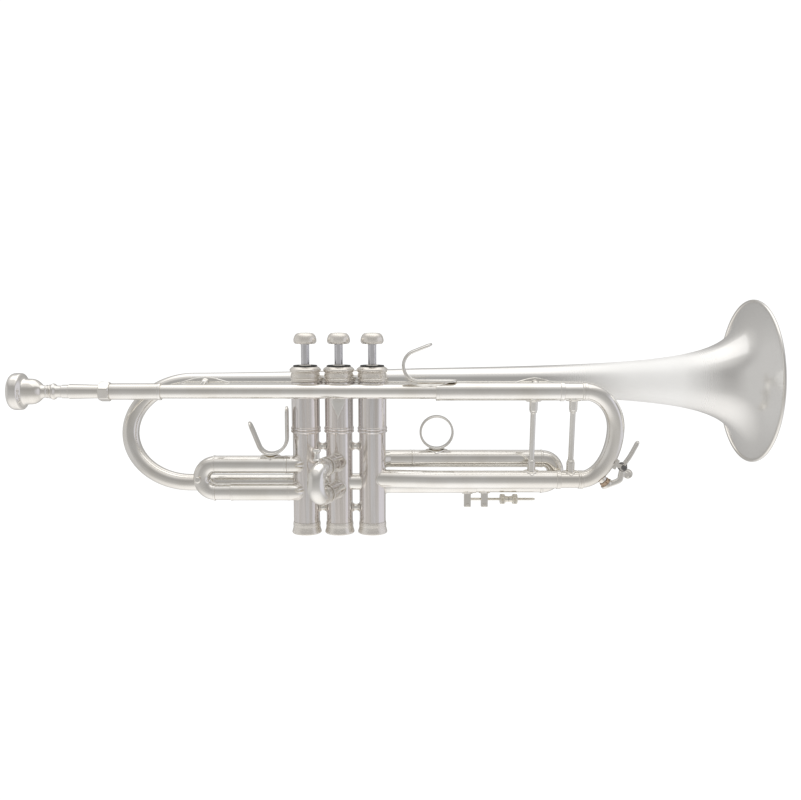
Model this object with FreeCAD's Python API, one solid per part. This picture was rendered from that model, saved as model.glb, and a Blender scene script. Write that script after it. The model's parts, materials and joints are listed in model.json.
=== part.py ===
"""B flat piston trumpet, modelled in millimetres as separate pieces on their real joints.

Frame: origin on the second valve's axis at mid casing, +X from the mouthpiece towards the bell,
+Y from the leadpipe side towards the bell side, +Z up through the finger buttons.
Each piece is written to parts/NAME.step.
"""
import FreeCAD, Part
import math
import os

V = FreeCAD.Vector
X_AXIS = V(1, 0, 0)
Y_AXIS = V(0, 1, 0)
Z_AXIS = V(0, 0, 1)

# --- tubing common to the whole instrument ---------------------------------------------------
BORE_R = 5.85            # the 11.7 mm bore
LEG_R = 6.22             # a sliding inner leg
SLEEVE_IN_R = 6.28       # a sleeve's inside, which leaves 0.06 mm for the leg to run
SLEEVE_R = 6.6           # a sleeve's outside
BOW_R = 6.3              # the bows' outside
OVAL_ARCS = 4            # arcs in each quarter of an oval bow
FERRULE_R = 7.05         # the ferrule on a sleeve's open end
FERRULE_LEN = 3.0
RING_R = 6.75            # the thin ring where a bow meets its leg
RING_LEN = 1.4
ELBOW_R = 8.0            # centreline radius of the short elbows into the casings
ELBOW_OFFSET = 3.2       # how far past the casing's axis an elbow's mouth sits
ELBOW_REACH = 8.3        # from an elbow's corner to its end inside the casing
END_GAP = 0.4            # daylight between a closed slide and what it stops against

# --- valve block -----------------------------------------------------------------------------
VALVE_PITCH = 24.8
VALVE_X = (-VALVE_PITCH, 0.0, VALVE_PITCH)
CASING_BORE_R = 8.55
CASING_R = 9.85          # lower casing
BALUSTER_R = 10.5        # upper casing
CASING_LOW_Z = -56.0
CASING_STEP_Z = 18.0
CASING_TOP_Z = 59.5
NECK_R = 9.6             # threaded ends that the caps screw on to
NECK_LEN = 4.5
PORT_PASSAGE_R = 4.7
PISTON_R = 8.5
PISTON_LOW_Z = -42.0    # leaves the full stroke clear above the bottom cap
BARREL_FLOOR_Z = 11.0
BARREL_TOP_Z = 54.6
BARREL_IN_R = 7.0
STROKE = 15.0
GUIDE_LOW_Z = 12.8
GUIDE_THICK = 2.6
KEYWAY_HALF = 1.4
STEM_R = 3.1
BUTTON_LOW_Z = 81.8
BUTTON_TOP_Z = 89.6
BUTTON_R = 8.5
PEARL_R = 5.4
PEARL_THICK = 1.2
STEM_SOCKET = 2.0        # how far the stem screws up into its button
SPRING_R = 5.2
SPRING_WIRE_R = 0.45
SPRING_PITCH = 4.4
BRIDGE_Z = (6.0, -41.8)
KNUCKLE_Z = -21.7
KNUCKLE_R = 6.2

# --- leadpipe, tuning slide --------------------------------------------------------------------
LEAD_Y = -16.5
LEAD_Z = 47.9
LEAD_START_X = -150.0
LEAD_END_X = 98.0
LEAD_R_START = 5.1
LEAD_R_END = 5.5
LEAD_WALL = 0.55
RECEIVER_X = (-172.0, -164.0, -127.3)
RECEIVER_R = 5.95
RECEIVER_HEX_R = 7.4
TUNING_SLEEVE_X = 71.8
TUNING_FERRULE_X = 164.2
TUNING_LOW_Y = -8.0
TUNING_LOW_Z = -18.5
TUNING_LEG_END_X = 101.0
TUNING_BOW_X = 178.8
TUNING_BOW_REACH = 24.4
TUNING_BOW_TOP_B = 28.4

# --- bell --------------------------------------------------------------------------------------
BELL_Y = 20.0
BELL_Z = 52.6
BELL_RIM_X = 314.5
BELL_RIM_R = 61.9
BELL_THROAT_R = 5.13     # the flare's curve settles towards this radius
BELL_CURVE_LEN = 14.7
BELL_CURVE_POWER = 0.857
BELL_WALL = 0.9
BELL_JOINT_X = 190.0     # seam between the spun flare and the bell's stem
BELL_TAIL_X = -112.0     # seam between the stem and the rear bow
RIM_WIRE_R = 1.25
BELL_BOW_R = 6.2
BELL_BOW_REACH = 47.2
TAIL_Y = 5.4
TAIL_Z = -22.8
TAIL_BEND_R = 8.0

# --- valve slides ------------------------------------------------------------------------------
FIRST_Y = -8.0
FIRST_Z = (-7.2, -27.5)
FIRST_ELBOW_X = -36.8
FIRST_BOW_X = -92.7
FIRST_SLEEVE_X = -80.0
SECOND_X = 1.5
SECOND_ANGLE = 19.5      # degrees towards the player
SECOND_Z = (-5.4, -25.4)
SECOND_SLEEVE = 28.0     # distances out from the casing's axis
SECOND_BOW = 34.9
THIRD_Y = 5.8
THIRD_Z = (-5.1, -24.8)
THIRD_STUB_X = 54.4
THIRD_BOW_X = 153.0
THIRD_SLEEVE_X = 103.0
THIRD_LEG_END_X = 48.0

# --- small fittings ------------------------------------------------------------------------------
BRACE_ROD_R = 1.9
BRACE_SOCKET_R = 3.0
BRACE_SOCKET_LEN = 9.0
BODY_BRACE_X = 142.5
SLIDE_BRACE_X = 171.4
FRONT_BELL_BRACE_X = 147.0
REAR_BELL_BRACE_X = -102.5
FOOT_THICK = 0.7
STRIP_WIDTH = 11.0
STRIP_THICK = 1.5
RING_CENTRE = (73.0, 15.0)
RING_OUT_R = 12.85
RING_BAND = 1.6
RING_WIDTH = 8.0
HOOK_CENTRE = (59.0, 66.6)
HOOK_R = 11.1
HOOK_LIFT_DEG = 109.6    # where the bend gives way to the rising tip
HOOK_TIP_LEN = 14.2
HOOK_ARM_END_X = 86.0
HOOK_WIDTH = 9.0
SADDLE_X = -50.1
SADDLE_RIGHT_R = 12.2
SADDLE_LEFT_R = 9.0
SADDLE_LEAN_DEG = 70.0
SADDLE_LEFT_LEN = 19.3
SADDLE_RIGHT_LEN = 23.0
POST_X = (96.6, 109.5)
POST_SIZE = 5.3
POST_DEPTH = 4.0
POST_LOW_Z = -42.2
STOP_ROD_Z = -36.3
STOP_ROD_R = 1.05
STOP_ROD_END_X = 147.8
STOP_NUT_X = 121.3

# --- water key, on the tuning slide's bow ----------------------------------------------------------
KEY_Y = -8.6
KEY_PIVOT = (210.2, -9.0)
KEY_BARREL_R = 2.6
KEY_PIN_R = 1.0
KEY_TIP = (221.6, 10.2)
KEY_BOSS = (4.0, -5.2)   # the round boss's centre from the pivot
KEY_BOSS_R = 3.6
KEY_ELBOW = (-2.5, -9.5)  # the arm's bend from the pivot
KEY_ARM_R = 1.25
KEY_HALF = 2.6           # half the barrel's length
KEY_EAR_Y = 3.4
KEY_EAR_THICK = 1.4
KEY_PAD = (204.0, -6.2)  # the saddle's pad on the bow
CORK_R = 4.0
CORK_LEN = 3.6
CORK_GAP = 0.05
CUP_R = 4.6
KEY_HOLE_ANGLE = 30.0    # degrees round the bow's lower quarter from its bottom
KEY_SADDLE_ANGLE = 52.0
DRAIN_R = 1.6
NIPPLE_R = 3.0
NIPPLE_TOP = 8.2         # how far the nipple stands out from the bow's centreline

# --- mouthpiece --------------------------------------------------------------------------------
MOUTH_RIM_X = -235.8
SHANK_END_X = -153.0

parts = {}


def save(name, shape):
    """Keep a finished piece under its node name."""
    parts[name] = shape


def rod(start, end, radius):
    """A round bar between two points."""
    along = end - start
    return Part.makeCylinder(radius, along.Length, start, along)


def ring(start, end, outer, inner):
    """A round tube between two points."""
    along = (end - start).normalize()
    return rod(start, end, outer).cut(rod(start - along, end + along, inner))


def lathe(profile, base, axis):
    """Turn a closed (distance, radius) outline about an axis through base."""
    side = X_AXIS if abs(axis.x) < 0.5 else Z_AXIS
    points = [base + axis * d + side * r for d, r in profile]
    face = Part.Face(Part.makePolygon(points + points[:1]))
    return face.revolve(base, axis, 360)


def sweep(path, radius):
    """A round solid along a path."""
    first = path.Edges[0]
    start = first.valueAt(first.FirstParameter)
    heading = first.tangentAt(first.FirstParameter)
    if first.Orientation == "Reversed":
        start = first.valueAt(first.LastParameter)
        heading = first.tangentAt(first.LastParameter) * -1
    section = Part.Wire(Part.makeCircle(radius, start, heading))
    return path.makePipeShell([section], True, False)


def route(points, radii):
    """A path of straight runs with a tangent arc at each inner point."""
    edges = []
    last = points[0]
    for before, corner, after, radius in zip(points, points[1:], points[2:], radii):
        back = (before - corner).normalize()
        onward = (after - corner).normalize()
        half = back.getAngle(onward) / 2
        reach = radius / math.tan(half)
        enter = corner + back * reach
        leave = corner + onward * reach
        middle = corner + (back + onward).normalize() * (radius / math.sin(half) - radius)
        if (enter - last).Length > 1e-6:
            edges.append(Part.LineSegment(last, enter).toShape())
        edges.append(Part.Arc(enter, middle, leave).toShape())
        last = leave
    edges.append(Part.LineSegment(last, points[-1]).toShape())
    return Part.Wire(edges)


def oval_corners(middle, outward, up, reach, rise, fall):
    """Corners round half an oval, which route() turns into arcs that follow it."""
    corners = []
    step = math.pi / (2 * OVAL_ARCS)
    for i in range(2 * OVAL_ARCS):
        angle = step * (i + 0.5)
        height = rise if i < OVAL_ARCS else fall
        spread = 1 / math.cos(step / 2)
        side = outward * (reach * spread * math.sin(angle))
        corners.append(middle + side + up * (height * spread * math.cos(angle)))
    return corners


def oval_route(start, corners, end):
    """A path through the corners whose arcs are as large as the runs between them allow."""
    points = [start] + corners + [end]
    radii = []
    for before, corner, after in zip(points, points[1:], points[2:]):
        half = (before - corner).getAngle(after - corner) / 2
        shorter = min((before - corner).Length, (after - corner).Length)
        radii.append(0.49 * shorter * math.tan(half))
    return route(points, radii)


def hollow(path, outer, inner):
    """A tube along a path."""
    return sweep(path, outer).cut(sweep(path, inner))


def port_tube(path, outer, inner, casing_x):
    """A tube along a path, cut off where it meets the outside of a casing."""
    return sweep(path, outer).cut(casing_rod(casing_x)).cut(sweep(path, inner))


def casing_rod(x):
    """The outside of a casing as a solid bar, which trims whatever is soldered to it."""
    return rod(V(x, 0, CASING_LOW_Z), V(x, 0, CASING_STEP_Z - 2), CASING_R)


def diamond_foot(out_dir, along_dir, length, tube_r, axis_point):
    """A diamond plate wrapped on a tube, facing out_dir, its long corners along along_dir."""
    across = out_dir.cross(along_dir)
    wide = tube_r * 0.95
    corners = [along_dir * (length / 2), across * wide, along_dir * (-length / 2), across * -wide]
    base = axis_point
    outline = Part.Face(Part.makePolygon([base + c for c in corners + corners[:1]]))
    prism = outline.extrude(out_dir * (tube_r + 5))
    far = along_dir * length
    shell = ring(axis_point - far, axis_point + far, tube_r + FOOT_THICK, tube_r)
    return prism.common(shell)


# ---------------------------------------------------------------------------------------------
# bell
# ---------------------------------------------------------------------------------------------

def bell_radius(x):
    """The bell's outside radius: the flare's curve, drawn in along the stem."""
    back = BELL_RIM_X - RIM_WIRE_R - x
    widest = BELL_RIM_R - RIM_WIRE_R - BELL_THROAT_R
    flare = BELL_THROAT_R + widest * (1 + back / BELL_CURVE_LEN) ** -BELL_CURVE_POWER
    stem = BELL_BOW_R + 0.00155 * max(0.0, x - BELL_TAIL_X) ** 1.5
    return min(flare, stem) if x < BELL_JOINT_X else flare


def bell_outline(stations, inset):
    """A smooth curve through the bell's radius at each station, moved in by the wall."""
    points = []
    for x in stations:
        slope = (bell_radius(x + 0.1) - bell_radius(x - 0.1)) / 0.2
        length = math.hypot(1, slope)
        points.append(V(x + inset * slope / length, BELL_Y, BELL_Z + bell_radius(x) - inset / length))
    curve = Part.BSplineCurve()
    curve.interpolate(points)
    return curve.toShape()


def bell_section(stations):
    """Revolve the wall between two outlines about the bell's axis."""
    outer = bell_outline(stations, 0)
    inner = bell_outline(stations[::-1], BELL_WALL)
    front = Part.LineSegment(outer.Vertexes[-1].Point, inner.Vertexes[0].Point).toShape()
    back = Part.LineSegment(inner.Vertexes[-1].Point, outer.Vertexes[0].Point).toShape()
    face = Part.Face(Part.Wire([outer, front, inner, back]))
    return face.revolve(V(0, BELL_Y, BELL_Z), X_AXIS, 360)


def build_bell():
    stem_stations = [BELL_TAIL_X, -50, 10, 60, 100, 145, BELL_JOINT_X]
    rim_end = BELL_RIM_X - RIM_WIRE_R
    flare_stations = [BELL_JOINT_X, 215, 238, 257, 272, 284, 293, 300, 306, rim_end]
    wire = Part.makeTorus(BELL_RIM_R - RIM_WIRE_R, RIM_WIRE_R, V(rim_end, BELL_Y, BELL_Z), X_AXIS)
    flat_x = BELL_RIM_X - 0.25
    front = rod(V(flat_x, BELL_Y, BELL_Z), V(flat_x + 5, BELL_Y, BELL_Z), BELL_RIM_R + 5)
    wire = wire.cut(front)
    save("bell_rim_wire", wire)
    save("bell_flare", bell_section(flare_stations).cut(wire))
    save("bell_stem", bell_section(stem_stations))


def bell_bow_path():
    """Round the back from the stem to the first valve, in one leaning plane."""
    top = V(BELL_TAIL_X, BELL_Y, BELL_Z)
    low = V(BELL_TAIL_X, TAIL_Y, TAIL_Z)
    centre = (top + low) * 0.5
    up = (top - low).normalize()
    rise = (top - low).Length / 2
    corners = oval_corners(centre, X_AXIS * -1, up, BELL_BOW_REACH, rise, rise)
    bend_x = VALVE_X[0] - 10
    bend = oval_route(top, corners, low)
    tail = route([low, V(bend_x, TAIL_Y, TAIL_Z), V(VALVE_X[0] - 3, 0, TAIL_Z)], [TAIL_BEND_R])
    return Part.Wire(bend.Edges + tail.Edges)


# ---------------------------------------------------------------------------------------------
# leadpipe and tuning slide
# ---------------------------------------------------------------------------------------------

def lead(x):
    return V(x, LEAD_Y, LEAD_Z)


def tuning_low(x):
    return V(x, TUNING_LOW_Y, TUNING_LOW_Z)


def build_leadpipe():
    length = LEAD_END_X - LEAD_START_X
    outer = Part.makeCone(LEAD_R_START, LEAD_R_END, length, lead(LEAD_START_X), X_AXIS)
    bore_start, bore_end = LEAD_R_START - LEAD_WALL, LEAD_R_END - LEAD_WALL
    inner = Part.makeCone(bore_start, bore_end, length, lead(LEAD_START_X), X_AXIS)
    save("leadpipe", outer.cut(inner))


def hexagon(x0, x1, radius, turn):
    """A six-sided collar along X on the leadpipe's axis."""
    corners = []
    for i in range(7):
        angle = math.radians(60 * i + turn)
        corners.append(lead(x0) + V(0, radius * math.cos(angle), radius * math.sin(angle)))
    return Part.Face(Part.makePolygon(corners)).extrude(X_AXIS * (x1 - x0))


def build_receiver():
    start, collar, end = RECEIVER_X
    hexed = hexagon(start, collar, RECEIVER_HEX_R, 40)
    rounding = lathe([(0, 0), (0, 6.2), (1.4, 7.4), (collar - start - 1.4, 7.4), (collar - start, 6.2),
                      (collar - start, 0)], lead(start), X_AXIS)
    body = hexed.common(rounding)
    sleeve = rod(lead(collar), lead(end - 2), RECEIVER_R)
    bead = rod(lead(end - 2), lead(end), RECEIVER_R + 0.35)
    body = body.fuse([sleeve, bead]).removeSplitter()
    seat = Part.makeCone(5.0, 4.62, SHANK_END_X - start, lead(start), X_AXIS)
    pipe_seat = rod(lead(SHANK_END_X), lead(end + 1), LEAD_R_START + 0.1)
    save("mouthpiece_receiver", body.cut(seat).cut(pipe_seat))


def build_mouthpiece():
    """Rim, cup, throat and shank turned in one; the inside is the cup, the throat and the backbore."""
    length = SHANK_END_X - MOUTH_RIM_X
    rim = [(0, 8.9), (0.3, 10.4), (1.0, 12.2), (2.0, 13.15), (4.4, 13.4), (7.8, 13.3), (8.4, 12.6)]
    bowl = [(10.4, 9.6), (16.2, 9.4), (19.2, 8.2), (21.8, 5.6), (23.4, 4.6)]
    bead = [(27.8, 4.4), (28.6, 5.2), (30.4, 5.8), (32.2, 5.0), (33.0, 4.3)]
    shank = [(36.6, 4.35), (37.2, 4.9), (42.2, 4.95), (42.6, 5.45), (59.6, 4.98), (length, 4.6)]
    backbore = [(length, 4.1), (41.2, 3.2), (20.2, 1.9)]
    cup = [(14.2, 1.85), (11.7, 2.6), (8.7, 5.4), (5.4, 7.4), (2.2, 8.2)]
    save("mouthpiece", lathe(rim + bowl + bead + shank + backbore + cup, lead(MOUTH_RIM_X), X_AXIS))


def tuning_elbow_path():
    """From the lower sleeve round into the side of the third casing."""
    corner = tuning_low(VALVE_X[2] - ELBOW_OFFSET)
    return route([tuning_low(TUNING_SLEEVE_X), corner, corner + Y_AXIS * ELBOW_REACH], [ELBOW_R])


def sleeve_with_ferrule(start, end, inner):
    """A sleeve whose far end carries a ferrule."""
    along = (end - start).normalize()
    body = rod(start, end, SLEEVE_R).fuse(rod(end - along * FERRULE_LEN, end, FERRULE_R))
    return body.cut(rod(start - along, end + along, inner))


def build_tuning_sleeves():
    upper = sleeve_with_ferrule(lead(TUNING_SLEEVE_X), lead(TUNING_FERRULE_X), SLEEVE_IN_R)
    collar = ring(lead(TUNING_SLEEVE_X), lead(TUNING_SLEEVE_X + 8), SLEEVE_IN_R, LEAD_R_END + 0.02)
    upper = upper.fuse(collar).removeSplitter()
    lower = sleeve_with_ferrule(tuning_low(TUNING_SLEEVE_X), tuning_low(TUNING_FERRULE_X), SLEEVE_IN_R)
    save("tuning_slide_sleeves", Part.makeCompound([upper, lower]))


def tuning_plane():
    """The tuning bow's height above and below its outermost point, and its leaning up direction."""
    across = lead(0) - tuning_low(0)
    return TUNING_BOW_TOP_B, across.Length - TUNING_BOW_TOP_B, across.normalize()


def tuning_bow_path():
    rise, fall, up = tuning_plane()
    corners = oval_corners(lead(TUNING_BOW_X) - up * rise, X_AXIS, up, TUNING_BOW_REACH, rise, fall)
    return oval_route(lead(TUNING_BOW_X), corners, tuning_low(TUNING_BOW_X))


def build_tuning_slide():
    solid = sweep(tuning_bow_path(), BOW_R)
    hole, outward = bow_point(KEY_HOLE_ANGLE)
    drain = rod(hole, hole + outward * 12, DRAIN_R)
    nipple = rod(hole + outward * 4, hole + outward * NIPPLE_TOP, NIPPLE_R)
    bow = solid.fuse(nipple).cut(sweep(tuning_bow_path(), BORE_R)).cut(drain)
    save("tuning_slide_bow", bow)
    legs = []
    for place in (lead, tuning_low):
        leg = rod(place(TUNING_LEG_END_X), place(TUNING_BOW_X), LEG_R)
        band = rod(place(TUNING_BOW_X - RING_LEN), place(TUNING_BOW_X), RING_R)
        legs.append(leg.fuse(band).cut(rod(place(TUNING_LEG_END_X - 1), place(TUNING_BOW_X + 1), BORE_R)))
    save("tuning_slide_legs", Part.makeCompound(legs))


def upright_brace(x, tube_r):
    """Rod, two sockets and two diamond feet between the upper and lower tubes."""
    top, low = lead(x), tuning_low(x)
    up = (top - low).normalize()
    start = low + up * (tube_r + 0.1)
    end = top - up * (tube_r + 0.1)
    shaft = rod(start, end, BRACE_ROD_R)
    socket_low = rod(start, start + up * BRACE_SOCKET_LEN, BRACE_SOCKET_R)
    socket_top = rod(end - up * BRACE_SOCKET_LEN, end, BRACE_SOCKET_R)
    feet = [diamond_foot(up, X_AXIS, 12, tube_r, low),
            diamond_foot(up * -1, X_AXIS, 12, tube_r, top)]
    body = shaft.fuse([socket_low, socket_top] + feet).removeSplitter()
    for centre in (low, top):
        body = body.cut(rod(centre - X_AXIS * 12, centre + X_AXIS * 12, tube_r))
    return body


# ---------------------------------------------------------------------------------------------
# water key
# ---------------------------------------------------------------------------------------------

def key_point(place, y=KEY_Y):
    return V(place[0], y, place[1])


def build_water_key():
    """The lever on its screw, between the saddle's ears."""
    build_water_key_lever()
    build_water_key_saddle()
    build_water_key_screw()


def from_pivot(offset):
    """A point at an (X, Z) offset from the water key's pivot."""
    return key_point(KEY_PIVOT) + V(offset[0], 0, offset[1])


def build_water_key_lever():
    """Barrel, round boss, cranked arm with the cork's cup, and the finger piece."""
    pivot = key_point(KEY_PIVOT)
    half = Y_AXIS * KEY_HALF
    hole, outward = bow_point(KEY_HOLE_ANGLE)
    cork_low = hole + outward * (NIPPLE_TOP + CORK_GAP)
    cup_base = cork_low + outward * CORK_LEN
    cup = rod(cup_base, cup_base + outward * 1.3, CUP_R)
    cup = cup.fuse(ring(cup_base - outward * 1.2, cup_base, CUP_R, CORK_R + CORK_GAP))
    barrel = rod(pivot - half, pivot + half, KEY_BARREL_R)
    boss_centre = from_pivot(KEY_BOSS)
    boss = rod(boss_centre - Y_AXIS * 1.4, boss_centre + Y_AXIS * 1.4, KEY_BOSS_R)
    neck = rod(pivot, boss_centre, KEY_ARM_R)
    elbow = from_pivot(KEY_ELBOW)
    arm = rod(from_pivot((0, -1.5)), elbow, KEY_ARM_R).fuse(rod(elbow, cup_base + outward, KEY_ARM_R))
    arm = arm.fuse(Part.makeSphere(KEY_ARM_R, elbow))
    tip = key_point(KEY_TIP)
    finger = rod(from_pivot((1.0, 1.5)), tip, KEY_ARM_R).fuse(Part.makeSphere(KEY_ARM_R, tip))
    lever = barrel.fuse([boss, neck, arm, finger, cup]).removeSplitter()
    lever = lever.cut(rod(cork_low, cup_base, CORK_R + CORK_GAP))
    save("water_key_lever", lever.cut(rod(pivot - half * 3, pivot + half * 3, KEY_PIN_R + 0.05)))
    save("water_key_cork", rod(cork_low, cup_base, CORK_R))


def build_water_key_saddle():
    """A pad on the bow with an ear at each end of the barrel."""
    pivot = key_point(KEY_PIVOT)
    reach = Y_AXIS * (3 * KEY_HALF)
    ears = []
    for side in (-1, 1):
        middle = pivot + Y_AXIS * (KEY_EAR_Y * side)
        half_ear = Y_AXIS * (KEY_EAR_THICK / 2)
        ear = rod(middle - half_ear, middle + half_ear, 2.2)
        slab = rod(middle, V(KEY_PAD[0], middle.y, KEY_PAD[1]), 1.5)
        sheet = Part.makeBox(40, KEY_EAR_THICK, 40, middle + V(-20, -KEY_EAR_THICK / 2, -20))
        ears.append(ear.fuse(slab.common(sheet)))
    _, bow_out = bow_point(KEY_SADDLE_ANGLE)
    pad = Part.makeBox(3.2, 8.2, 7.5, V(-1.6, -4.1, -3.75))
    pad.rotate(V(0, 0, 0), Y_AXIS, math.degrees(math.atan2(-bow_out.z, bow_out.x)))
    pad.translate(key_point(KEY_PAD))
    saddle = pad.fuse(ears).cut(rod(pivot - reach, pivot + reach, KEY_PIN_R + 0.02))
    save("water_key_saddle", saddle.cut(sweep(tuning_bow_path(), BOW_R)))


def build_water_key_screw():
    """The hinge's pin with its slotted head's blank."""
    pivot = key_point(KEY_PIVOT)
    screw = rod(pivot - Y_AXIS * 4.9, pivot + Y_AXIS * 4.3, KEY_PIN_R)
    head = rod(pivot - Y_AXIS * 5.6, pivot - Y_AXIS * 4.15, 1.9)
    save("water_key_screw", screw.fuse(head).removeSplitter())


def bow_point(angle_deg):
    """A point on the tuning bow's lower quarter and its outward direction."""
    rise, fall, up = tuning_plane()
    angle = math.radians(angle_deg)
    middle = lead(TUNING_BOW_X) - up * rise
    point = middle + X_AXIS * (TUNING_BOW_REACH * math.sin(angle)) - up * (fall * math.cos(angle))
    outward = X_AXIS * (math.sin(angle) / TUNING_BOW_REACH) - up * (math.cos(angle) / fall)
    return point, outward.normalize()


# ---------------------------------------------------------------------------------------------
# valves
# ---------------------------------------------------------------------------------------------

def build_casing(index, x, bores):
    """Lower casing, upper casing with its beads, and a threaded neck at each end."""
    low, step, top = CASING_LOW_Z, CASING_STEP_Z, CASING_TOP_Z
    outline = [(low, CASING_BORE_R), (low, NECK_R), (low + NECK_LEN, NECK_R), (low + NECK_LEN, CASING_R),
               (step - 1.8, CASING_R), (step - 1.8, 11.0), (step - 0.2, 11.2), (step + 0.2, 10.7),
               (step + 2.0, 11.2), (step + 2.6, BALUSTER_R), (top - NECK_LEN - 1.3, BALUSTER_R),
               (top - NECK_LEN - 1.3, NECK_R), (top, NECK_R), (top, CASING_BORE_R)]
    body = lathe(outline, V(x, 0, 0), Z_AXIS)
    for bore in bores:
        body = body.cut(bore)
    key = Part.makeBox(20, 2 * KEYWAY_HALF, top - GUIDE_LOW_Z + 1, V(x - 10, -KEYWAY_HALF, GUIDE_LOW_Z))
    key = key.common(rod(V(x, 0, GUIDE_LOW_Z), V(x, 0, top + 1), CASING_BORE_R + 0.5))
    save("valve_casing_%d" % index, body.cut(key))


def top_cap(x):
    """Knurled cap with the stem's collar, hollow under its skirt."""
    outline = [(53.8, 10.6), (56.8, 10.75), (57.0, 10.3), (57.3, 10.6), (60.2, 10.6),
               (60.5, 10.3), (61.2, 11.2), (62.4, 11.65), (63.6, 11.2), (65.0, 9.4), (65.0, 4.7),
               (66.4, 4.3), (66.4, STEM_R + 0.08), (60.0, STEM_R + 0.08), (60.0, 9.7), (53.8, 9.7)]
    return lathe(outline, V(x, 0, 0), Z_AXIS)


def bottom_cap(x):
    """Flared cap with a small drain hole in its dished foot."""
    low = CASING_LOW_Z
    outline = [(low + NECK_LEN - 0.1, NECK_R + 0.05), (low + NECK_LEN - 0.1, 9.95), (low + 1.2, 10.1),
               (low - 2.2, 10.9), (low - 3.8, 11.1), (low - 4.4, 10.6), (low - 4.9, 6.0), (low - 5.0, 1.5),
               (low - 2.0, 1.5), (low - 2.0, NECK_R + 0.05)]
    return lathe(outline, V(x, 0, 0), Z_AXIS)


def passage(x, start, end, lift):
    """A straight passage through a piston between two (angle, height) ports."""
    ends = []
    for angle, z in (start, end):
        turn = math.radians(angle)
        ends.append(V(x + 12 * math.cos(turn), 12 * math.sin(turn), z + lift))
    return rod(ends[0], ends[1], PORT_PASSAGE_R)


def build_piston(index, x, ports):
    """Ported piston with its slotted spring barrel."""
    low, floor, top = PISTON_LOW_Z, BARREL_FLOOR_Z, BARREL_TOP_Z
    barrel = rod(V(x, 0, floor), V(x, 0, top), PISTON_R - 0.2)
    body = rod(V(x, 0, low), V(x, 0, floor), PISTON_R).fuse(barrel)
    body = body.cut(rod(V(x, 0, floor), V(x, 0, top - 2.5), BARREL_IN_R))
    body = body.cut(rod(V(x, 0, low - 1), V(x, 0, low + 4), 6.5))
    body = body.cut(rod(V(x, 0, top - 3), V(x, 0, top + 1), STEM_R))
    slot_top = GUIDE_LOW_Z + GUIDE_THICK + STROKE + 1
    slot = Part.makeBox(20, 3.4, slot_top - floor - 1, V(x - 10, -1.7, floor + 1))
    body = body.cut(slot)
    inlet, outlet, slide_in, slide_out = ports
    body = body.cut(passage(x, inlet, outlet, 0))
    body = body.cut(passage(x, inlet, slide_in, STROKE))
    body = body.cut(passage(x, slide_out, outlet, STROKE))
    save("piston_%d" % index, body)


def valve_guide(x):
    """The bar across the casing that keeps the piston from turning and carries the spring."""
    disc = rod(V(x, 0, GUIDE_LOW_Z), V(x, 0, GUIDE_LOW_Z + GUIDE_THICK), BARREL_IN_R - 0.4)
    reach = CASING_BORE_R + 0.45
    bar = Part.makeBox(2 * reach, 2.6, GUIDE_THICK, V(x - reach, -1.3, GUIDE_LOW_Z))
    trim = rod(V(x, 0, 0), V(x, 0, 40), reach)
    return disc.fuse(bar).common(trim).removeSplitter()


def build_stem(index, x):
    save("valve_stem_%d" % index, rod(V(x, 0, BARREL_TOP_Z - 3), V(x, 0, BUTTON_LOW_Z + STEM_SOCKET), STEM_R))


def build_button(index, x):
    """Turned finger button with a raised rim round its pearl."""
    low, top = BUTTON_LOW_Z, BUTTON_TOP_Z
    seat = top - PEARL_THICK
    outline = [(low, STEM_R), (low, 6.3), (low + 0.8, 7.8), (low + 2.0, BUTTON_R), (low + 3.1, BUTTON_R),
               (low + 5.7, 7.8), (low + 7.0, 6.8), (top, PEARL_R + 0.2), (top, PEARL_R), (seat, PEARL_R),
               (seat, 0), (low + STEM_SOCKET, 0), (low + STEM_SOCKET, STEM_R)]
    save("finger_button_%d" % index, lathe(outline, V(x, 0, 0), Z_AXIS))
    pearl = [(seat, 0), (seat, PEARL_R), (top - 0.1, PEARL_R), (top + 0.25, 3.6), (top + 0.4, 0)]
    save("button_pearl_%d" % index, lathe(pearl, V(x, 0, 0), Z_AXIS))


def build_spring(index, x):
    """Compression spring between the guide and the head of the spring barrel."""
    low = GUIDE_LOW_Z + GUIDE_THICK + SPRING_WIRE_R + 0.05
    high = BARREL_TOP_Z - 2.5 - SPRING_WIRE_R - 0.05
    helix = Part.makeHelix(SPRING_PITCH, high - low, SPRING_R)
    helix.translate(V(x, 0, low))
    start = V(x + SPRING_R, 0, low)
    section = Part.Wire(Part.makeCircle(SPRING_WIRE_R, start, V(0, 2 * math.pi * SPRING_R, SPRING_PITCH)))
    save("valve_spring_%d" % index, Part.Wire(helix.Edges).makePipeShell([section], True, True))


def casing_bridges():
    """Waisted bars that tie neighbouring casings together."""
    bars = []
    half = VALVE_PITCH / 2
    for left in VALVE_X[:2]:
        middle = left + half
        for z in BRIDGE_Z:
            outline = [(-half, 0), (-half, 4.2), (-2.6, 3.6), (-1.6, 2.7), (0, 2.4), (1.6, 2.7), (2.6, 3.6),
                       (half, 4.2), (half, 0)]
            bar = lathe(outline, V(middle, 0, z), X_AXIS)
            for x in (left, left + VALVE_PITCH):
                bar = bar.cut(casing_rod(x))
            bars.append(bar)
    return bars


def knuckle_path(left):
    return Part.Wire(Part.LineSegment(V(left, 0, KNUCKLE_Z), V(left + VALVE_PITCH, 0, KNUCKLE_Z)).toShape())


# ---------------------------------------------------------------------------------------------
# valve slides
# ---------------------------------------------------------------------------------------------

def first_path(z):
    """From the first slide's leg round into the first casing."""
    corner = V(VALVE_X[0] - ELBOW_OFFSET, FIRST_Y, z)
    return route([V(FIRST_SLEEVE_X, FIRST_Y, z), corner, corner + Y_AXIS * ELBOW_REACH], [ELBOW_R])


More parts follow.
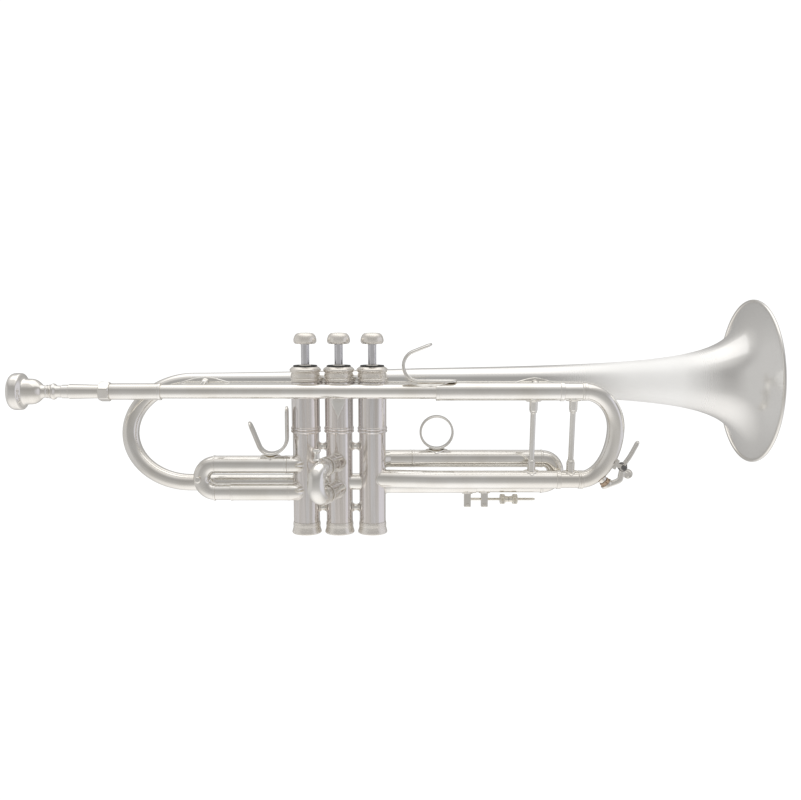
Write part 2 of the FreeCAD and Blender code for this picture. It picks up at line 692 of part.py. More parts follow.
def third_path(z, end_x):
    """From the third slide's leg in to the third casing's axis."""
    return route([V(end_x, THIRD_Y, z), V(VALVE_X[2] + 12, THIRD_Y, z), V(VALVE_X[2] + 2, 0, z)], [10])


def second_point(distance, z):
    turn = math.radians(SECOND_ANGLE)
    return V(SECOND_X - distance * math.sin(turn), -distance * math.cos(turn), z)


def u_bow(start, end, heading, band):
    """A half-circle bow between two legs, with a ring at each end."""
    middle = (start + end) * 0.5
    radius = (start - end).Length / 2
    arc = Part.Wire(Part.Arc(start, middle + heading * radius, end).toShape())
    bow = hollow(arc, BOW_R, BORE_R)
    for point in (start, end):
        bow = bow.fuse(ring(point - heading * band, point, RING_R, BORE_R))
    return bow.removeSplitter()


def build_first_slide():
    y = FIRST_Y
    high, low = FIRST_Z
    stub_x = FIRST_ELBOW_X - 1.0
    beads = [ring(V(stub_x, y, z), V(stub_x + 1.4, y, z), RING_R, BORE_R) for z in FIRST_Z]
    upper = port_tube(first_path(high), SLEEVE_R, BORE_R, VALVE_X[0])
    thin = ring(V(FIRST_SLEEVE_X - 1, y, high), V(stub_x, y, high), SLEEVE_R + 1, LEG_R)
    upper = upper.cut(thin).fuse(beads[0])
    lower = port_tube(first_path(low), SLEEVE_R, BORE_R, VALVE_X[0])
    lower = lower.cut(rod(V(FIRST_SLEEVE_X - 1, y, low), V(stub_x, y, low), SLEEVE_IN_R)).fuse(beads[1])
    lower = lower.cut(sweep(bell_bow_path(), BELL_BOW_R))
    lip = ring(V(FIRST_SLEEVE_X, y, low), V(FIRST_SLEEVE_X + 1.6, y, low), RING_R, SLEEVE_IN_R)
    save("first_slide_fixed_tubes", Part.makeCompound([upper, lower.fuse(lip).removeSplitter()]))

    bow = u_bow(V(FIRST_BOW_X, y, high), V(FIRST_BOW_X, y, low), X_AXIS * -1, RING_LEN)
    save("first_slide_bow", bow)
    outer_end = stub_x - END_GAP
    outer = ring(V(FIRST_BOW_X + RING_LEN, y, high), V(outer_end, y, high), SLEEVE_R, SLEEVE_IN_R)
    lip = ring(V(outer_end - 1.6, y, high), V(outer_end, y, high), RING_R, SLEEVE_IN_R)
    inner = ring(V(FIRST_BOW_X + RING_LEN, y, low), V(stub_x - 2, y, low), LEG_R, BORE_R)
    save("first_slide_legs", Part.makeCompound([outer.fuse(lip).removeSplitter(), inner]))

    middle_x = FIRST_BOW_X - (high - low) / 2
    centre = V(middle_x, y, (high + low) / 2)
    knob = [(4.6, 1.3), (6.6, 1.2), (7.2, 2.2), (8.6, 2.4), (9.4, 1.7), (9.5, 0), (4.6, 0)]
    knob = lathe(knob, centre, Y_AXIS * -1)
    save("first_slide_knob", knob.cut(sweep(first_bow_arc(), BOW_R)))


def first_bow_arc():
    high, low = FIRST_Z
    radius = (high - low) / 2
    middle = V(FIRST_BOW_X - radius, FIRST_Y, (high + low) / 2)
    return Part.Wire(Part.Arc(V(FIRST_BOW_X, FIRST_Y, high), middle, V(FIRST_BOW_X, FIRST_Y, low)).toShape())


def build_second_slide():
    casing = casing_rod(VALVE_X[1])
    out = (second_point(1, 0) - second_point(0, 0)).normalize()
    sleeves = []
    for z in SECOND_Z:
        sleeve = sleeve_with_ferrule(second_point(0, z), second_point(SECOND_SLEEVE, z), SLEEVE_IN_R)
        sleeves.append(sleeve.cut(casing))
    save("second_slide_sleeves", Part.makeCompound(sleeves))
    bow = u_bow(second_point(SECOND_BOW, SECOND_Z[0]), second_point(SECOND_BOW, SECOND_Z[1]), out, 5.0)
    leg_start, leg_end = CASING_R + 2, SECOND_BOW - 4
    legs = [ring(second_point(leg_start, z), second_point(leg_end, z), LEG_R, BORE_R) for z in SECOND_Z]
    save("second_slide_bow", bow.fuse(legs).removeSplitter())
    base = second_point(SECOND_BOW + 1.5, SECOND_Z[0]) + V(-3.0, 0, 0)
    knob = [(4.0, 2.9), (6.2, 2.9), (7.4, 2.0), (11.0, 1.8), (12.2, 2.9), (14.0, 3.0), (14.4, 2.4), (14.4, 0),
            (4.0, 0)]
    knob = lathe(knob, base, Z_AXIS)
    arc = Part.Wire(Part.Arc(second_point(SECOND_BOW, SECOND_Z[0]),
                             second_point(SECOND_BOW + 10, sum(SECOND_Z) / 2),
                             second_point(SECOND_BOW, SECOND_Z[1])).toShape())
    straight = rod(second_point(SECOND_BOW - 5, SECOND_Z[0]), second_point(SECOND_BOW, SECOND_Z[0]), RING_R)
    save("second_slide_knob", knob.cut(sweep(arc, BOW_R)).cut(straight))


def build_third_slide():
    y = THIRD_Y
    high, low = THIRD_Z
    upper = port_tube(third_path(high, THIRD_STUB_X), SLEEVE_R, BORE_R, VALVE_X[2])
    inner = ring(V(THIRD_STUB_X, y, high), V(THIRD_BOW_X - 30, y, high), LEG_R, BORE_R)
    lower = port_tube(third_path(low, THIRD_SLEEVE_X), SLEEVE_R, BORE_R, VALVE_X[2])
    lower = lower.cut(rod(V(THIRD_LEG_END_X - 1, y, low), V(THIRD_SLEEVE_X + 1, y, low), SLEEVE_IN_R))
    lip = ring(V(THIRD_SLEEVE_X - 1.6, y, low), V(THIRD_SLEEVE_X, y, low), RING_R, SLEEVE_IN_R)
    save("third_slide_fixed_tubes",
         Part.makeCompound([upper.fuse(inner).removeSplitter(), lower.fuse(lip).removeSplitter()]))

    save("third_slide_bow", u_bow(V(THIRD_BOW_X, y, high), V(THIRD_BOW_X, y, low), X_AXIS, RING_LEN))
    bow_start = THIRD_BOW_X - RING_LEN
    outer = ring(V(THIRD_STUB_X + END_GAP, y, high), V(bow_start, y, high), SLEEVE_R, SLEEVE_IN_R)
    leg = ring(V(THIRD_LEG_END_X, y, low), V(bow_start, y, low), LEG_R, BORE_R)
    save("third_slide_legs", Part.makeCompound([outer, leg]))


# ---------------------------------------------------------------------------------------------
# strips, ring, stop
# ---------------------------------------------------------------------------------------------

def strip(path, width, y):
    """A bent flat strip: a thick outline in the XZ plane, extruded across Y."""
    face = Part.Face(path.makeOffset2D(STRIP_THICK / 2, 0, False, False))
    body = face.extrude(Y_AXIS * width)
    body.translate(V(0, y - width / 2, 0))
    return body


def build_finger_hook():
    """Pinky hook: a flat arm on the tube, a round bend and a rising tip."""
    centre = V(HOOK_CENTRE[0], 0, HOOK_CENTRE[1])
    seat_z = centre.z - HOOK_R
    turn = math.radians(HOOK_LIFT_DEG)
    bend_end = centre + V(math.cos(turn), 0, math.sin(turn)) * HOOK_R
    tip = bend_end + V(math.sin(turn), 0, -math.cos(turn)) * HOOK_TIP_LEN
    arm = Part.LineSegment(V(HOOK_ARM_END_X, 0, seat_z), V(centre.x, 0, seat_z)).toShape()
    bend = Part.Arc(V(centre.x, 0, seat_z), centre - X_AXIS * HOOK_R, bend_end).toShape()
    lift = Part.LineSegment(bend_end, tip).toShape()
    hook = strip(Part.Wire([arm, bend, lift]), HOOK_WIDTH, LEAD_Y)
    foot = Part.makeBox(30, 7.0, 4.0, V(56, LEAD_Y - 3.5, seat_z - 4.2))
    hook = hook.fuse(foot.cut(rod(lead(50), lead(TUNING_SLEEVE_X), LEAD_R_END + 0.02)))
    hook = hook.cut(rod(lead(TUNING_SLEEVE_X), lead(HOOK_ARM_END_X + 4), SLEEVE_R))
    hook = hook.cut(rod(lead(40), lead(HOOK_ARM_END_X + 4), LEAD_R_END + 0.02))
    save("finger_hook", hook.removeSplitter())


def build_thumb_saddle():
    """U-shaped thumb rest on the first slide's upper leg."""
    x = SADDLE_X
    right_r, left_r = SADDLE_RIGHT_R, SADDLE_LEFT_R
    seat_z = FIRST_Z[0] + SLEEVE_R + 1.6
    lean = math.radians(SADDLE_LEAN_DEG)
    diagonal = math.sqrt(0.5)
    right_end = V(x + right_r, 0, seat_z + right_r)
    left_centre = V(x, 0, seat_z + left_r)
    left_end = left_centre + V(-math.sin(lean), 0, -math.cos(lean)) * left_r
    half_turn = left_centre + V(-math.sin(lean / 2), 0, -math.cos(lean / 2)) * left_r
    mid_turn = V(x + right_r * diagonal, 0, seat_z + right_r * (1 - diagonal))
    left_tip = left_end + V(-math.cos(lean), 0, math.sin(lean)) * SADDLE_LEFT_LEN
    edges = [Part.LineSegment(left_tip, left_end).toShape(),
             Part.Arc(left_end, half_turn, V(x, 0, seat_z)).toShape(),
             Part.Arc(V(x, 0, seat_z), mid_turn, right_end).toShape(),
             Part.LineSegment(right_end, right_end + Z_AXIS * SADDLE_RIGHT_LEN).toShape()]
    saddle = strip(Part.Wire(edges), STRIP_WIDTH, FIRST_Y)
    foot = Part.makeBox(8, 5, 4, V(x - 4, FIRST_Y - 2.5, seat_z - 4))
    plate = diamond_foot(Z_AXIS, X_AXIS, 14, SLEEVE_R, V(x, FIRST_Y, FIRST_Z[0]))
    trim = rod(V(x - 20, FIRST_Y, FIRST_Z[0]), V(x + 12, FIRST_Y, FIRST_Z[0]), SLEEVE_R)
    save("thumb_saddle", saddle.fuse([foot.cut(trim), plate]).removeSplitter())


def build_finger_ring():
    """Third-slide ring with its foot."""
    x, z = RING_CENTRE
    half = Y_AXIS * (RING_WIDTH / 2)
    middle = V(x, THIRD_Y, z)
    band = ring(middle - half, middle + half, RING_OUT_R, RING_OUT_R - RING_BAND)
    foot = Part.makeBox(12, 5, 4, V(x - 6, THIRD_Y - 2.5, z - RING_OUT_R - 2.2))
    foot = foot.cut(rod(middle - half * 3, middle + half * 3, RING_OUT_R - RING_BAND))
    trim = rod(V(x - 20, THIRD_Y, THIRD_Z[0]), V(x + 20, THIRD_Y, THIRD_Z[0]), SLEEVE_R)
    plate = diamond_foot(Z_AXIS, X_AXIS, 17, SLEEVE_R, V(x, THIRD_Y, THIRD_Z[0]))
    save("finger_ring", band.fuse([foot.cut(trim), plate]).removeSplitter())


def stop_post(x, tube_r, hole_r):
    """A square post under the lower leg with a hole for the stop rod."""
    half = POST_SIZE / 2
    low = V(x, THIRD_Y, THIRD_Z[1])
    post = Part.makeBox(POST_SIZE, POST_DEPTH, 16, V(x - half, THIRD_Y - POST_DEPTH / 2, POST_LOW_Z))
    plate = diamond_foot(Z_AXIS * -1, X_AXIS, 9, tube_r, low)
    post = post.cut(rod(low - X_AXIS * 9, low + X_AXIS * 9, tube_r)).fuse(plate)
    return post.cut(rod(stop_line(x - 9), stop_line(x + 9), hole_r)).removeSplitter()


def stop_line(x):
    return V(x, THIRD_Y, STOP_ROD_Z)


def build_slide_stop():
    """A rod from the fixed post passes the moving post, and two knurled nuts limit the travel."""
    save("stop_post_fixed", stop_post(POST_X[0], SLEEVE_R, STOP_ROD_R))
    save("stop_post_moving", stop_post(POST_X[1], LEG_R, STOP_ROD_R + 0.08))
    save("stop_rod", rod(stop_line(POST_X[0] - 2.6), stop_line(STOP_ROD_END_X), STOP_ROD_R))
    outline = [(0, STOP_ROD_R), (0, 3.4), (0.5, 3.8), (3.2, 3.8), (3.7, 3.4), (4.1, 2.4), (6.5, 2.1),
               (6.5, STOP_ROD_R)]
    near = lathe(outline, stop_line(STOP_NUT_X), X_AXIS)
    far = lathe(outline, stop_line(STOP_NUT_X + 13.2), X_AXIS * -1)
    save("stop_nuts", Part.makeCompound([near, far]))


def cross_brace(x, tube_r, bell_r):
    """Rod, sockets and diamond feet between the leadpipe side and the bell."""
    near, far = lead(x), V(x, BELL_Y, BELL_Z)
    across = (far - near).normalize()
    start = near + across * (tube_r + 0.1)
    end = far - across * (bell_r + 0.1)
    shaft = rod(start, end, BRACE_ROD_R + 0.3)
    socket = across * 5
    sockets = [rod(start, start + socket, BRACE_SOCKET_R + 0.2), rod(end - socket, end, BRACE_SOCKET_R + 0.2)]
    near_foot = diamond_foot(across, X_AXIS, 16, tube_r, near)
    return shaft.fuse(sockets + [near_foot]).removeSplitter()


def build_tube_braces():
    """The two braces to the bell and the flange between the leadpipe and the second casing."""
    front = cross_brace(FRONT_BELL_BRACE_X, SLEEVE_R, bell_radius(FRONT_BELL_BRACE_X))
    rear = cross_brace(REAR_BELL_BRACE_X, lead_radius(REAR_BELL_BRACE_X), bell_radius(REAR_BELL_BRACE_X))
    front = front.cut(rod(lead(120), lead(164), SLEEVE_R))
    rear = rear.cut(rod(lead(-120), lead(-80), lead_radius(REAR_BELL_BRACE_X) + 0.05))
    bell_solid = parts["bell_stem"]
    flange = Part.makeBox(9, 3.0, 9, V(-4.5, -11.9, 35.5))
    flange = flange.cut(rod(V(0, 0, 30), V(0, 0, 50), BALUSTER_R))
    flange = flange.cut(rod(lead(-10), lead(10), LEAD_R_END + 0.05))
    save("tube_braces", Part.makeCompound([front.cut(bell_solid), rear.cut(bell_solid), flange]))


def lead_radius(x):
    """The leadpipe's outside radius at a station."""
    share = (x - LEAD_START_X) / (LEAD_END_X - LEAD_START_X)
    return LEAD_R_START + (LEAD_R_END - LEAD_R_START) * share


def build_valves():
    """Casings with every port cut through, then caps, pistons, springs and buttons."""
    tail_bore = sweep(bell_bow_path(), BORE_R)
    elbow_bore = sweep(tuning_elbow_path(), BORE_R)
    knuckle_bores = [sweep(knuckle_path(x), BORE_R) for x in VALVE_X[:2]]
    first_bores = [sweep(first_path(z), BORE_R) for z in FIRST_Z]
    second_bores = [rod(second_point(0, z), second_point(20, z), BORE_R) for z in SECOND_Z]
    third_bores = [sweep(third_path(z, THIRD_STUB_X), BORE_R) for z in THIRD_Z]
    bores = [[tail_bore, knuckle_bores[0]] + first_bores,
             [knuckle_bores[0], knuckle_bores[1]] + second_bores,
             [knuckle_bores[1], elbow_bore] + third_bores]
    knuckle_in, knuckle_out = (0, KNUCKLE_Z), (180, KNUCKLE_Z)
    ports = [(knuckle_in, (155, TAIL_Z), (-135, FIRST_Z[0]), (-135, FIRST_Z[1])),
             (knuckle_in, knuckle_out, (-105, SECOND_Z[0]), (-105, SECOND_Z[1])),
             ((-45, TUNING_LOW_Z), knuckle_out, (25, THIRD_Z[0]), (25, THIRD_Z[1]))]
    for index, x in enumerate(VALVE_X, 1):
        build_casing(index, x, bores[index - 1])
        build_piston(index, x, ports[index - 1])
        build_stem(index, x)
        build_button(index, x)
        build_spring(index, x)
    save("top_caps", Part.makeCompound([top_cap(x) for x in VALVE_X]))
    save("bottom_caps", Part.makeCompound([bottom_cap(x) for x in VALVE_X]))
    save("cap_felts", Part.makeCompound([ring(V(x, 0, 65.0), V(x, 0, 66.0), 8.9, 4.8) for x in VALVE_X]))
    save("valve_guides", Part.makeCompound([valve_guide(x) for x in VALVE_X]))
    knuckles = []
    elbow_solid = sweep(tuning_elbow_path(), SLEEVE_R)
    for left in VALVE_X[:2]:
        knuckle = hollow(knuckle_path(left), KNUCKLE_R, BORE_R)
        knuckle = knuckle.cut(casing_rod(left)).cut(casing_rod(left + VALVE_PITCH))
        knuckles.append(knuckle.cut(elbow_solid))
    save("valve_knuckles", Part.makeCompound(knuckles))
    save("casing_bridges", Part.makeCompound(casing_bridges()))
    save("bell_bow", port_tube(bell_bow_path(), BELL_BOW_R, BELL_BOW_R - BELL_WALL, VALVE_X[0]))
    save("tuning_elbow", port_tube(tuning_elbow_path(), SLEEVE_R, BORE_R, VALVE_X[2]))


def build_water_key_spring():
    """Torsion spring: a short coil round each end of the barrel."""
    pivot = key_point(KEY_PIVOT)
    coils = []
    for side in (-1, 1):
        start, end = pivot + Y_AXIS * (1.6 * side), pivot + Y_AXIS * (2.5 * side)
        coils.append(ring(start, end, KEY_BARREL_R + 0.75, KEY_BARREL_R + 0.05))
    save("water_key_spring", Part.makeCompound(coils))


def build_all():
    build_bell()
    build_leadpipe()
    build_receiver()
    build_mouthpiece()
    build_tuning_sleeves()
    build_tuning_slide()
    save("body_brace", upright_brace(BODY_BRACE_X, SLEEVE_R))
    save("slide_brace", upright_brace(SLIDE_BRACE_X, LEG_R))
    build_water_key()
    build_water_key_spring()
    build_valves()
    build_first_slide()
    build_second_slide()
    build_third_slide()
    build_finger_hook()
    build_thumb_saddle()
    build_finger_ring()
    build_slide_stop()
    build_tube_braces()


build_all()
os.makedirs("parts", exist_ok=True)
for name, shape in parts.items():
    solids = shape.Solids
    print("%-26s solids %d valid %s volume %.0f" % (name, len(solids), shape.isValid(), shape.Volume))
    piece = solids[0] if len(solids) == 1 else Part.makeCompound(solids)
    piece.exportStep("parts/%s.step" % name)
print(len(parts), "nodes")
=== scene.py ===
"""Looks for the silver-plated trumpet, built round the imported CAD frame. All lengths are in metres."""
import json
import math

import bmesh
import bpy
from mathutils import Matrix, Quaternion, Vector


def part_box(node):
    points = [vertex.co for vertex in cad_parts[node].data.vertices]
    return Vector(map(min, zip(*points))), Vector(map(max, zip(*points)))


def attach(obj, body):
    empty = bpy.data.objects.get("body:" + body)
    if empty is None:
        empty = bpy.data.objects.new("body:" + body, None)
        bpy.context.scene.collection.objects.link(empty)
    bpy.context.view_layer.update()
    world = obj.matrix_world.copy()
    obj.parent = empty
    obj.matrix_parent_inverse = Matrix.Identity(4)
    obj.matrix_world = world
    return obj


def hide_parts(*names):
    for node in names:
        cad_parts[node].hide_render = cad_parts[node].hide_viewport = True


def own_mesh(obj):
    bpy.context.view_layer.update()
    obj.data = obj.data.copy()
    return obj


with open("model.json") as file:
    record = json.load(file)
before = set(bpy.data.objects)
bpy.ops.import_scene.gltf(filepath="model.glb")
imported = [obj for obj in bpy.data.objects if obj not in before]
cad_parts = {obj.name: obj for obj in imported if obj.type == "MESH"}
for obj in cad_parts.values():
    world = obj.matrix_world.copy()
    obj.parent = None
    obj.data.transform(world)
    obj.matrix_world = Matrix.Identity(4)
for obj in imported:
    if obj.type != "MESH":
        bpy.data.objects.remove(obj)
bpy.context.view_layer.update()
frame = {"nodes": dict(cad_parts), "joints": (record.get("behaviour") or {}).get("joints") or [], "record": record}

MM = 0.001
X_AXIS = Vector((1, 0, 0))
Y_AXIS = Vector((0, 1, 0))
Z_AXIS = Vector((0, 0, 1))

BODY = "trumpet_body"
VALVES = (1, 2, 3)

# Common tube radii, as in the CAD model.
BORE_R = 5.85 * MM
LEG_R = 6.22 * MM
SLEEVE_R = 6.6 * MM
BOW_R = 6.3 * MM
RING_R = 6.75 * MM
FERRULE_R = 7.05 * MM
CASING_R = 9.85 * MM
BALUSTER_R = 10.5 * MM
BELL_BOW_R = 6.2 * MM
STRAP_THICK = 2.3 * MM
ELBOW_R = 8.0 * MM

# The bell's curve.
BELL_THROAT_R = 5.13 * MM
BELL_CURVE_LEN = 14.7 * MM
BELL_CURVE_POWER = 0.857
BELL_WALL = 0.9 * MM
RIM_WIRE_R = 1.25 * MM

# Camera, level with the valves and slightly above.
CAMERA_AIM = Vector((45.8 * MM, 0, 40 * MM))
CAMERA_DISTANCE = 640 * MM
CAMERA_PITCH = math.radians(6)
CAMERA_LENS_MM = 38.65

# Tuning slide and water key.
TUNING_WIDEST = 28.4 * MM    # from the upper tube down to the bow's widest place
KEY_HOLE_DEG = 30            # the drain hole, round the tuning bow from its bottom
CORK_HALF = 1.8 * MM
KEY_BARREL_HALF = 2.6 * MM
KEY_COIL_R = 2.95 * MM
KEY_COIL_STEP = 0.42 * MM

# Casings and caps.
CASING_STEP = 74 * MM        # from the casing's foot to the bead between its two halves
KNUCKLE_R = 6.2 * MM
BRIDGE_R = 4.2 * MM
SPRING_WIRE_R = 0.45 * MM
SPRING_TURNS = 4.6

# Valve slides. A port tube turns in towards its casing and stops inside the wall.
PORT_SHIFT = 3.2 * MM
PORT_TURN = 8.1 * MM
PORT_REACH = 6.2 * MM
FIRST_STUB = 13 * MM
SECOND_PORT_START = 9 * MM
SECOND_PORT_END = 28 * MM
SECOND_BOW_START = 34.9 * MM
THIRD_SLEEVE_END_X = 103 * MM
THIRD_PORT_BEND_R = 7 * MM

# Hook, thumb saddle and finger ring.
HOOK_RISE = 18.7 * MM
HOOK_BEND_R = 11.1 * MM
HOOK_BEND_DEG = 160.4
HOOK_TIP_LEN = 14.2 * MM
HOOK_WIDTH = 10.5 * MM
SADDLE_RIGHT_R = 12.2 * MM
SADDLE_LEFT_R = 9.0 * MM
SADDLE_LEFT_DEG = 70
SADDLE_LEFT_LEN = 19.3 * MM
SADDLE_RIGHT_LEN = 23 * MM
SADDLE_WIDTH = 11 * MM
FINGER_RING_R = 12.85 * MM
FINGER_BAND_R = 12.05 * MM

# Stop rod and the braces to the bell.
THREAD_FROM = 12 * MM
THREAD_PITCH = 0.5 * MM
FRONT_BRACE_X = 147 * MM
REAR_BRACE_X = -102.5 * MM


# --- small geometry helpers ------------------------------------------------------------------

def centre(node):
    low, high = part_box(node)
    return (low + high) / 2


def low(node):
    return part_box(node)[0]


def high(node):
    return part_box(node)[1]


def at(x, point):
    """The point with its X replaced."""
    return Vector((x, point.y, point.z))


def any_side(axis):
    """A unit vector square to the axis."""
    guess = Z_AXIS if abs(axis.z) < 0.9 else X_AXIS
    return (guess - axis * guess.dot(axis)).normalized()


def soften(outline, radius, closed=True):
    """Round the corners of a (distance, radius) outline."""
    points = [Vector(p) for p in outline]
    count = len(points)
    result = []
    for i, point in enumerate(points):
        if not closed and i in (0, count - 1):
            result.append(point)
            continue
        back = points[i - 1] - point
        onward = points[(i + 1) % count] - point
        if back.length < 1e-7 or onward.length < 1e-7:
            continue
        if back.angle(onward) > math.radians(165) or (point.y < 1e-7):
            result.append(point)
            continue
        reach = min(radius, 0.45 * back.length, 0.45 * onward.length)
        start = point + back.normalized() * reach
        end = point + onward.normalized() * reach
        for k in range(5):
            t = k / 4
            result.append(start * (1 - t) ** 2 + point * 2 * t * (1 - t) + end * t ** 2)
    return result


def turned(outline, edge):
    """An outline given in millimetres, with softened corners, in metres."""
    return soften([(distance * MM, radius * MM) for distance, radius in outline], edge * MM)


def oval(angle, wide, tall, wide_power=0.6, tall_power=0.6):
    """A point on an oval that is squarer for smaller powers."""
    c, s = math.cos(angle), math.sin(angle)
    return math.copysign(abs(c) ** wide_power, c) * wide, math.copysign(abs(s) ** tall_power, s) * tall


def on_circle(middle, radius, angle):
    """A point on a circle that stands in the XZ plane."""
    return middle + Vector((radius * math.cos(angle), 0, radius * math.sin(angle)))


def offset(x, z):
    """A step in the XZ plane, from millimetres."""
    return Vector((x * MM, 0, z * MM))


def smooth_curve(points, per=10):
    """A Catmull-Rom curve through the points."""
    points = [Vector(p) for p in points]
    ends = [points[0] * 2 - points[1]] + points + [points[-1] * 2 - points[-2]]
    result = []
    for a, b, c, d in zip(ends, ends[1:], ends[2:], ends[3:]):
        for k in range(per):
            t = k / per
            result.append(0.5 * (b * 2 + (c - a) * t + (a * 2 - b * 5 + c * 4 - d) * t * t
                                 + (b * 3 - a - c * 3 + d) * t ** 3))
    result.append(points[-1])
    return result


def arc(middle, start, end_angle, axis, steps=16):
    """Points from start round an axis through middle."""
    spoke = start - middle
    return [middle + Quaternion(axis, end_angle * k / steps) @ spoke for k in range(steps + 1)]


def rounded_route(points, radius, steps=12):
    """Straight runs with an arc at each inner point."""
    result = [points[0]]
    for before, corner, after in zip(points, points[1:], points[2:]):
        back = (before - corner).normalized()
        onward = (after - corner).normalized()
        half = back.angle(onward) / 2
        reach = radius / math.tan(half)
        middle = corner + (back + onward).normalized() * (radius / math.sin(half))
        axis = (-back).cross(onward).normalized()
        result += arc(middle, corner + back * reach, math.pi - 2 * half, axis, steps)
    return result + [points[-1]]


def half_oval(top, bottom, outward, reach, rise_share=0.5, steps=72):
    """Points round a bow from top to bottom, whose widest place is rise_share of the way down."""
    up = top - bottom
    middle = top - up * rise_share
    result = []
    for k in range(steps + 1):
        angle = math.pi * k / steps
        share = rise_share if angle < math.pi / 2 else 1 - rise_share
        result.append(middle + up * (share * math.cos(angle)) + outward * (reach * math.sin(angle)))
    return result


# --- mesh builders ---------------------------------------------------------------------------

class Mesh:
    """Collects vertices and faces of one piece."""

    def __init__(self):
        self.verts = []
        self.faces = []

    def grid(self, rows, wrap=True, loop=False):
        """Faces between neighbouring rows of points; wrap closes each row, loop joins last to first."""
        first = len(self.verts)
        wide = len(rows[0])
        for row in rows:
            self.verts += row
        last = len(rows) if loop else len(rows) - 1
        for i in range(last):
            for j in range(wide if wrap else wide - 1):
                a = first + i * wide
                b = first + (i + 1) % len(rows) * wide
                k = (j + 1) % wide
                self.faces.append((a + j, a + k, b + k, b + j))

    def lid(self, row, flip=False):
        first = len(self.verts)
        self.verts += row
        indices = list(range(first, first + len(row)))
        self.faces.append(tuple(reversed(indices)) if flip else tuple(indices))

    def lathe(self, outline, base, axis, steps=96, knurl=None):
        """Turn a closed (distance, radius) outline. knurl is (from, to, ridges, depth)."""
        axis = axis.normalized()
        side = any_side(axis)
        other = axis.cross(side)
        rows = []
        for distance, radius in outline:
            row = []
            for j in range(steps):
                angle = 2 * math.pi * j / steps
                r = radius
                if knurl and knurl[0] <= distance <= knurl[1] and radius > 0:
                    r -= knurl[3] * abs(math.sin(angle * knurl[2] / 2))
                row.append(base + axis * distance + (side * math.cos(angle) + other * math.sin(angle)) * r)
            rows.append(row)
        self.grid(rows, loop=True)

    def sweep(self, path, radius, steps=40, section=None, side=None, closed=False, lids=True):
        """A tube along a path. radius is a number or a list; section makes any other outline."""
        count = len(path)
        radii = radius if isinstance(radius, list) else [radius] * count
        rows = []
        previous = None
        for i, point in enumerate(path):
            after = path[(i + 1) % count] if closed or i < count - 1 else path[i]
            before = path[i - 1] if closed or i > 0 else path[i]
            heading = (after - before).normalized()
            if side is not None:
                across = (side - heading * side.dot(heading)).normalized()
            elif previous is None:
                across = any_side(heading)
            else:
                across = (previous - heading * previous.dot(heading)).normalized()
            previous = across
            other = heading.cross(across)
            row = []
            for j in range(steps):
                angle = 2 * math.pi * j / steps
                u, v = section(angle, i) if section else (math.cos(angle), math.sin(angle))
                row.append(point + (across * u + other * v) * radii[i])
            rows.append(row)
        self.grid(rows, loop=closed)
        if lids and not closed:
            self.lid(rows[0], flip=True)
            self.lid(rows[-1])
        return rows


def finish_piece(mesh, name, body, slot_name, nodes=(), sharp_deg=35):
    """Make the object, give it its material, tie it to its body and hide its CAD nodes."""
    data = bpy.data.meshes.new(name)
    data.from_pydata([tuple(v) for v in mesh.verts], [], mesh.faces)
    work = bmesh.new()
    work.from_mesh(data)
    bmesh.ops.remove_doubles(work, verts=work.verts, dist=1e-7)
    bmesh.ops.dissolve_degenerate(work, edges=work.edges, dist=1e-8)
    bmesh.ops.recalc_face_normals(work, faces=work.faces)
    work.to_mesh(data)
    work.free()
    data.shade_smooth()
    data.set_sharp_from_angle(angle=math.radians(sharp_deg))
    piece = bpy.data.objects.new(name, data)
    bpy.context.scene.collection.objects.link(piece)
    data.materials.append(materials[slot_name])
    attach(piece, body)
    if nodes:
        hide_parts(*nodes)
    return piece


def turned_piece(name, body, slot_name, node, outline, edge, base, axis, steps):
    """One turned piece, from an outline in millimetres."""
    mesh = Mesh()
    mesh.lathe(turned(outline, edge), base, axis, steps)
    finish_piece(mesh, name, body, slot_name, [node])


def rod(mesh, start, end, radius, edge=0.3 * MM, steps=40):
    """A turned rod with softened ends."""
    length = (end - start).length
    outline = [(0, 0), (0, radius), (length, radius), (length, 0)]
    mesh.lathe(soften(outline, edge), start, end - start, steps)


def ring(mesh, start, end, outer, inner, edge=0.3 * MM, steps=64):
    """A tube with softened lips."""
    length = (end - start).length
    outline = [(0, inner), (0, outer), (length, outer), (length, inner)]
    mesh.lathe(soften(outline, edge), start, end - start, steps)


def onto_casing(point, heading, axis_x, radius):
    """Slide a point along a level heading until it meets a casing's wall."""
    flat = Vector((point.x - axis_x, point.y, 0))
    direction = Vector((heading.x, heading.y, 0)).normalized()
    along = flat.dot(direction)
    gap = flat.length_squared - radius ** 2
    root = along ** 2 - gap
    if root <= 0:
        return point
    return point + direction * (-along - math.sqrt(root))


def port_tube(mesh, path, radius, axis_x, steps=48):
    """A tube whose last ring meets a casing, with a bead of solder round the joint."""
    cut = [p for p in path if math.hypot(p.x - axis_x, p.y) > CASING_R + 0.4 * MM]
    cut.append(path[-1])
    rows = mesh.sweep(cut, radius, steps, lids=False)
    heading = (cut[-1] - cut[-2]).normalized()
    base = len(mesh.verts) - steps
    seam = []
    for j in range(steps):
        start = rows[-2][j]
        foot = onto_casing(start, heading, axis_x, CASING_R - 0.15 * MM)
        mesh.verts[base + j] = foot
        seam.append(onto_casing(start, heading, axis_x, CASING_R + 0.1 * MM))
    mesh.sweep(seam, 0.5 * MM, 8, closed=True)


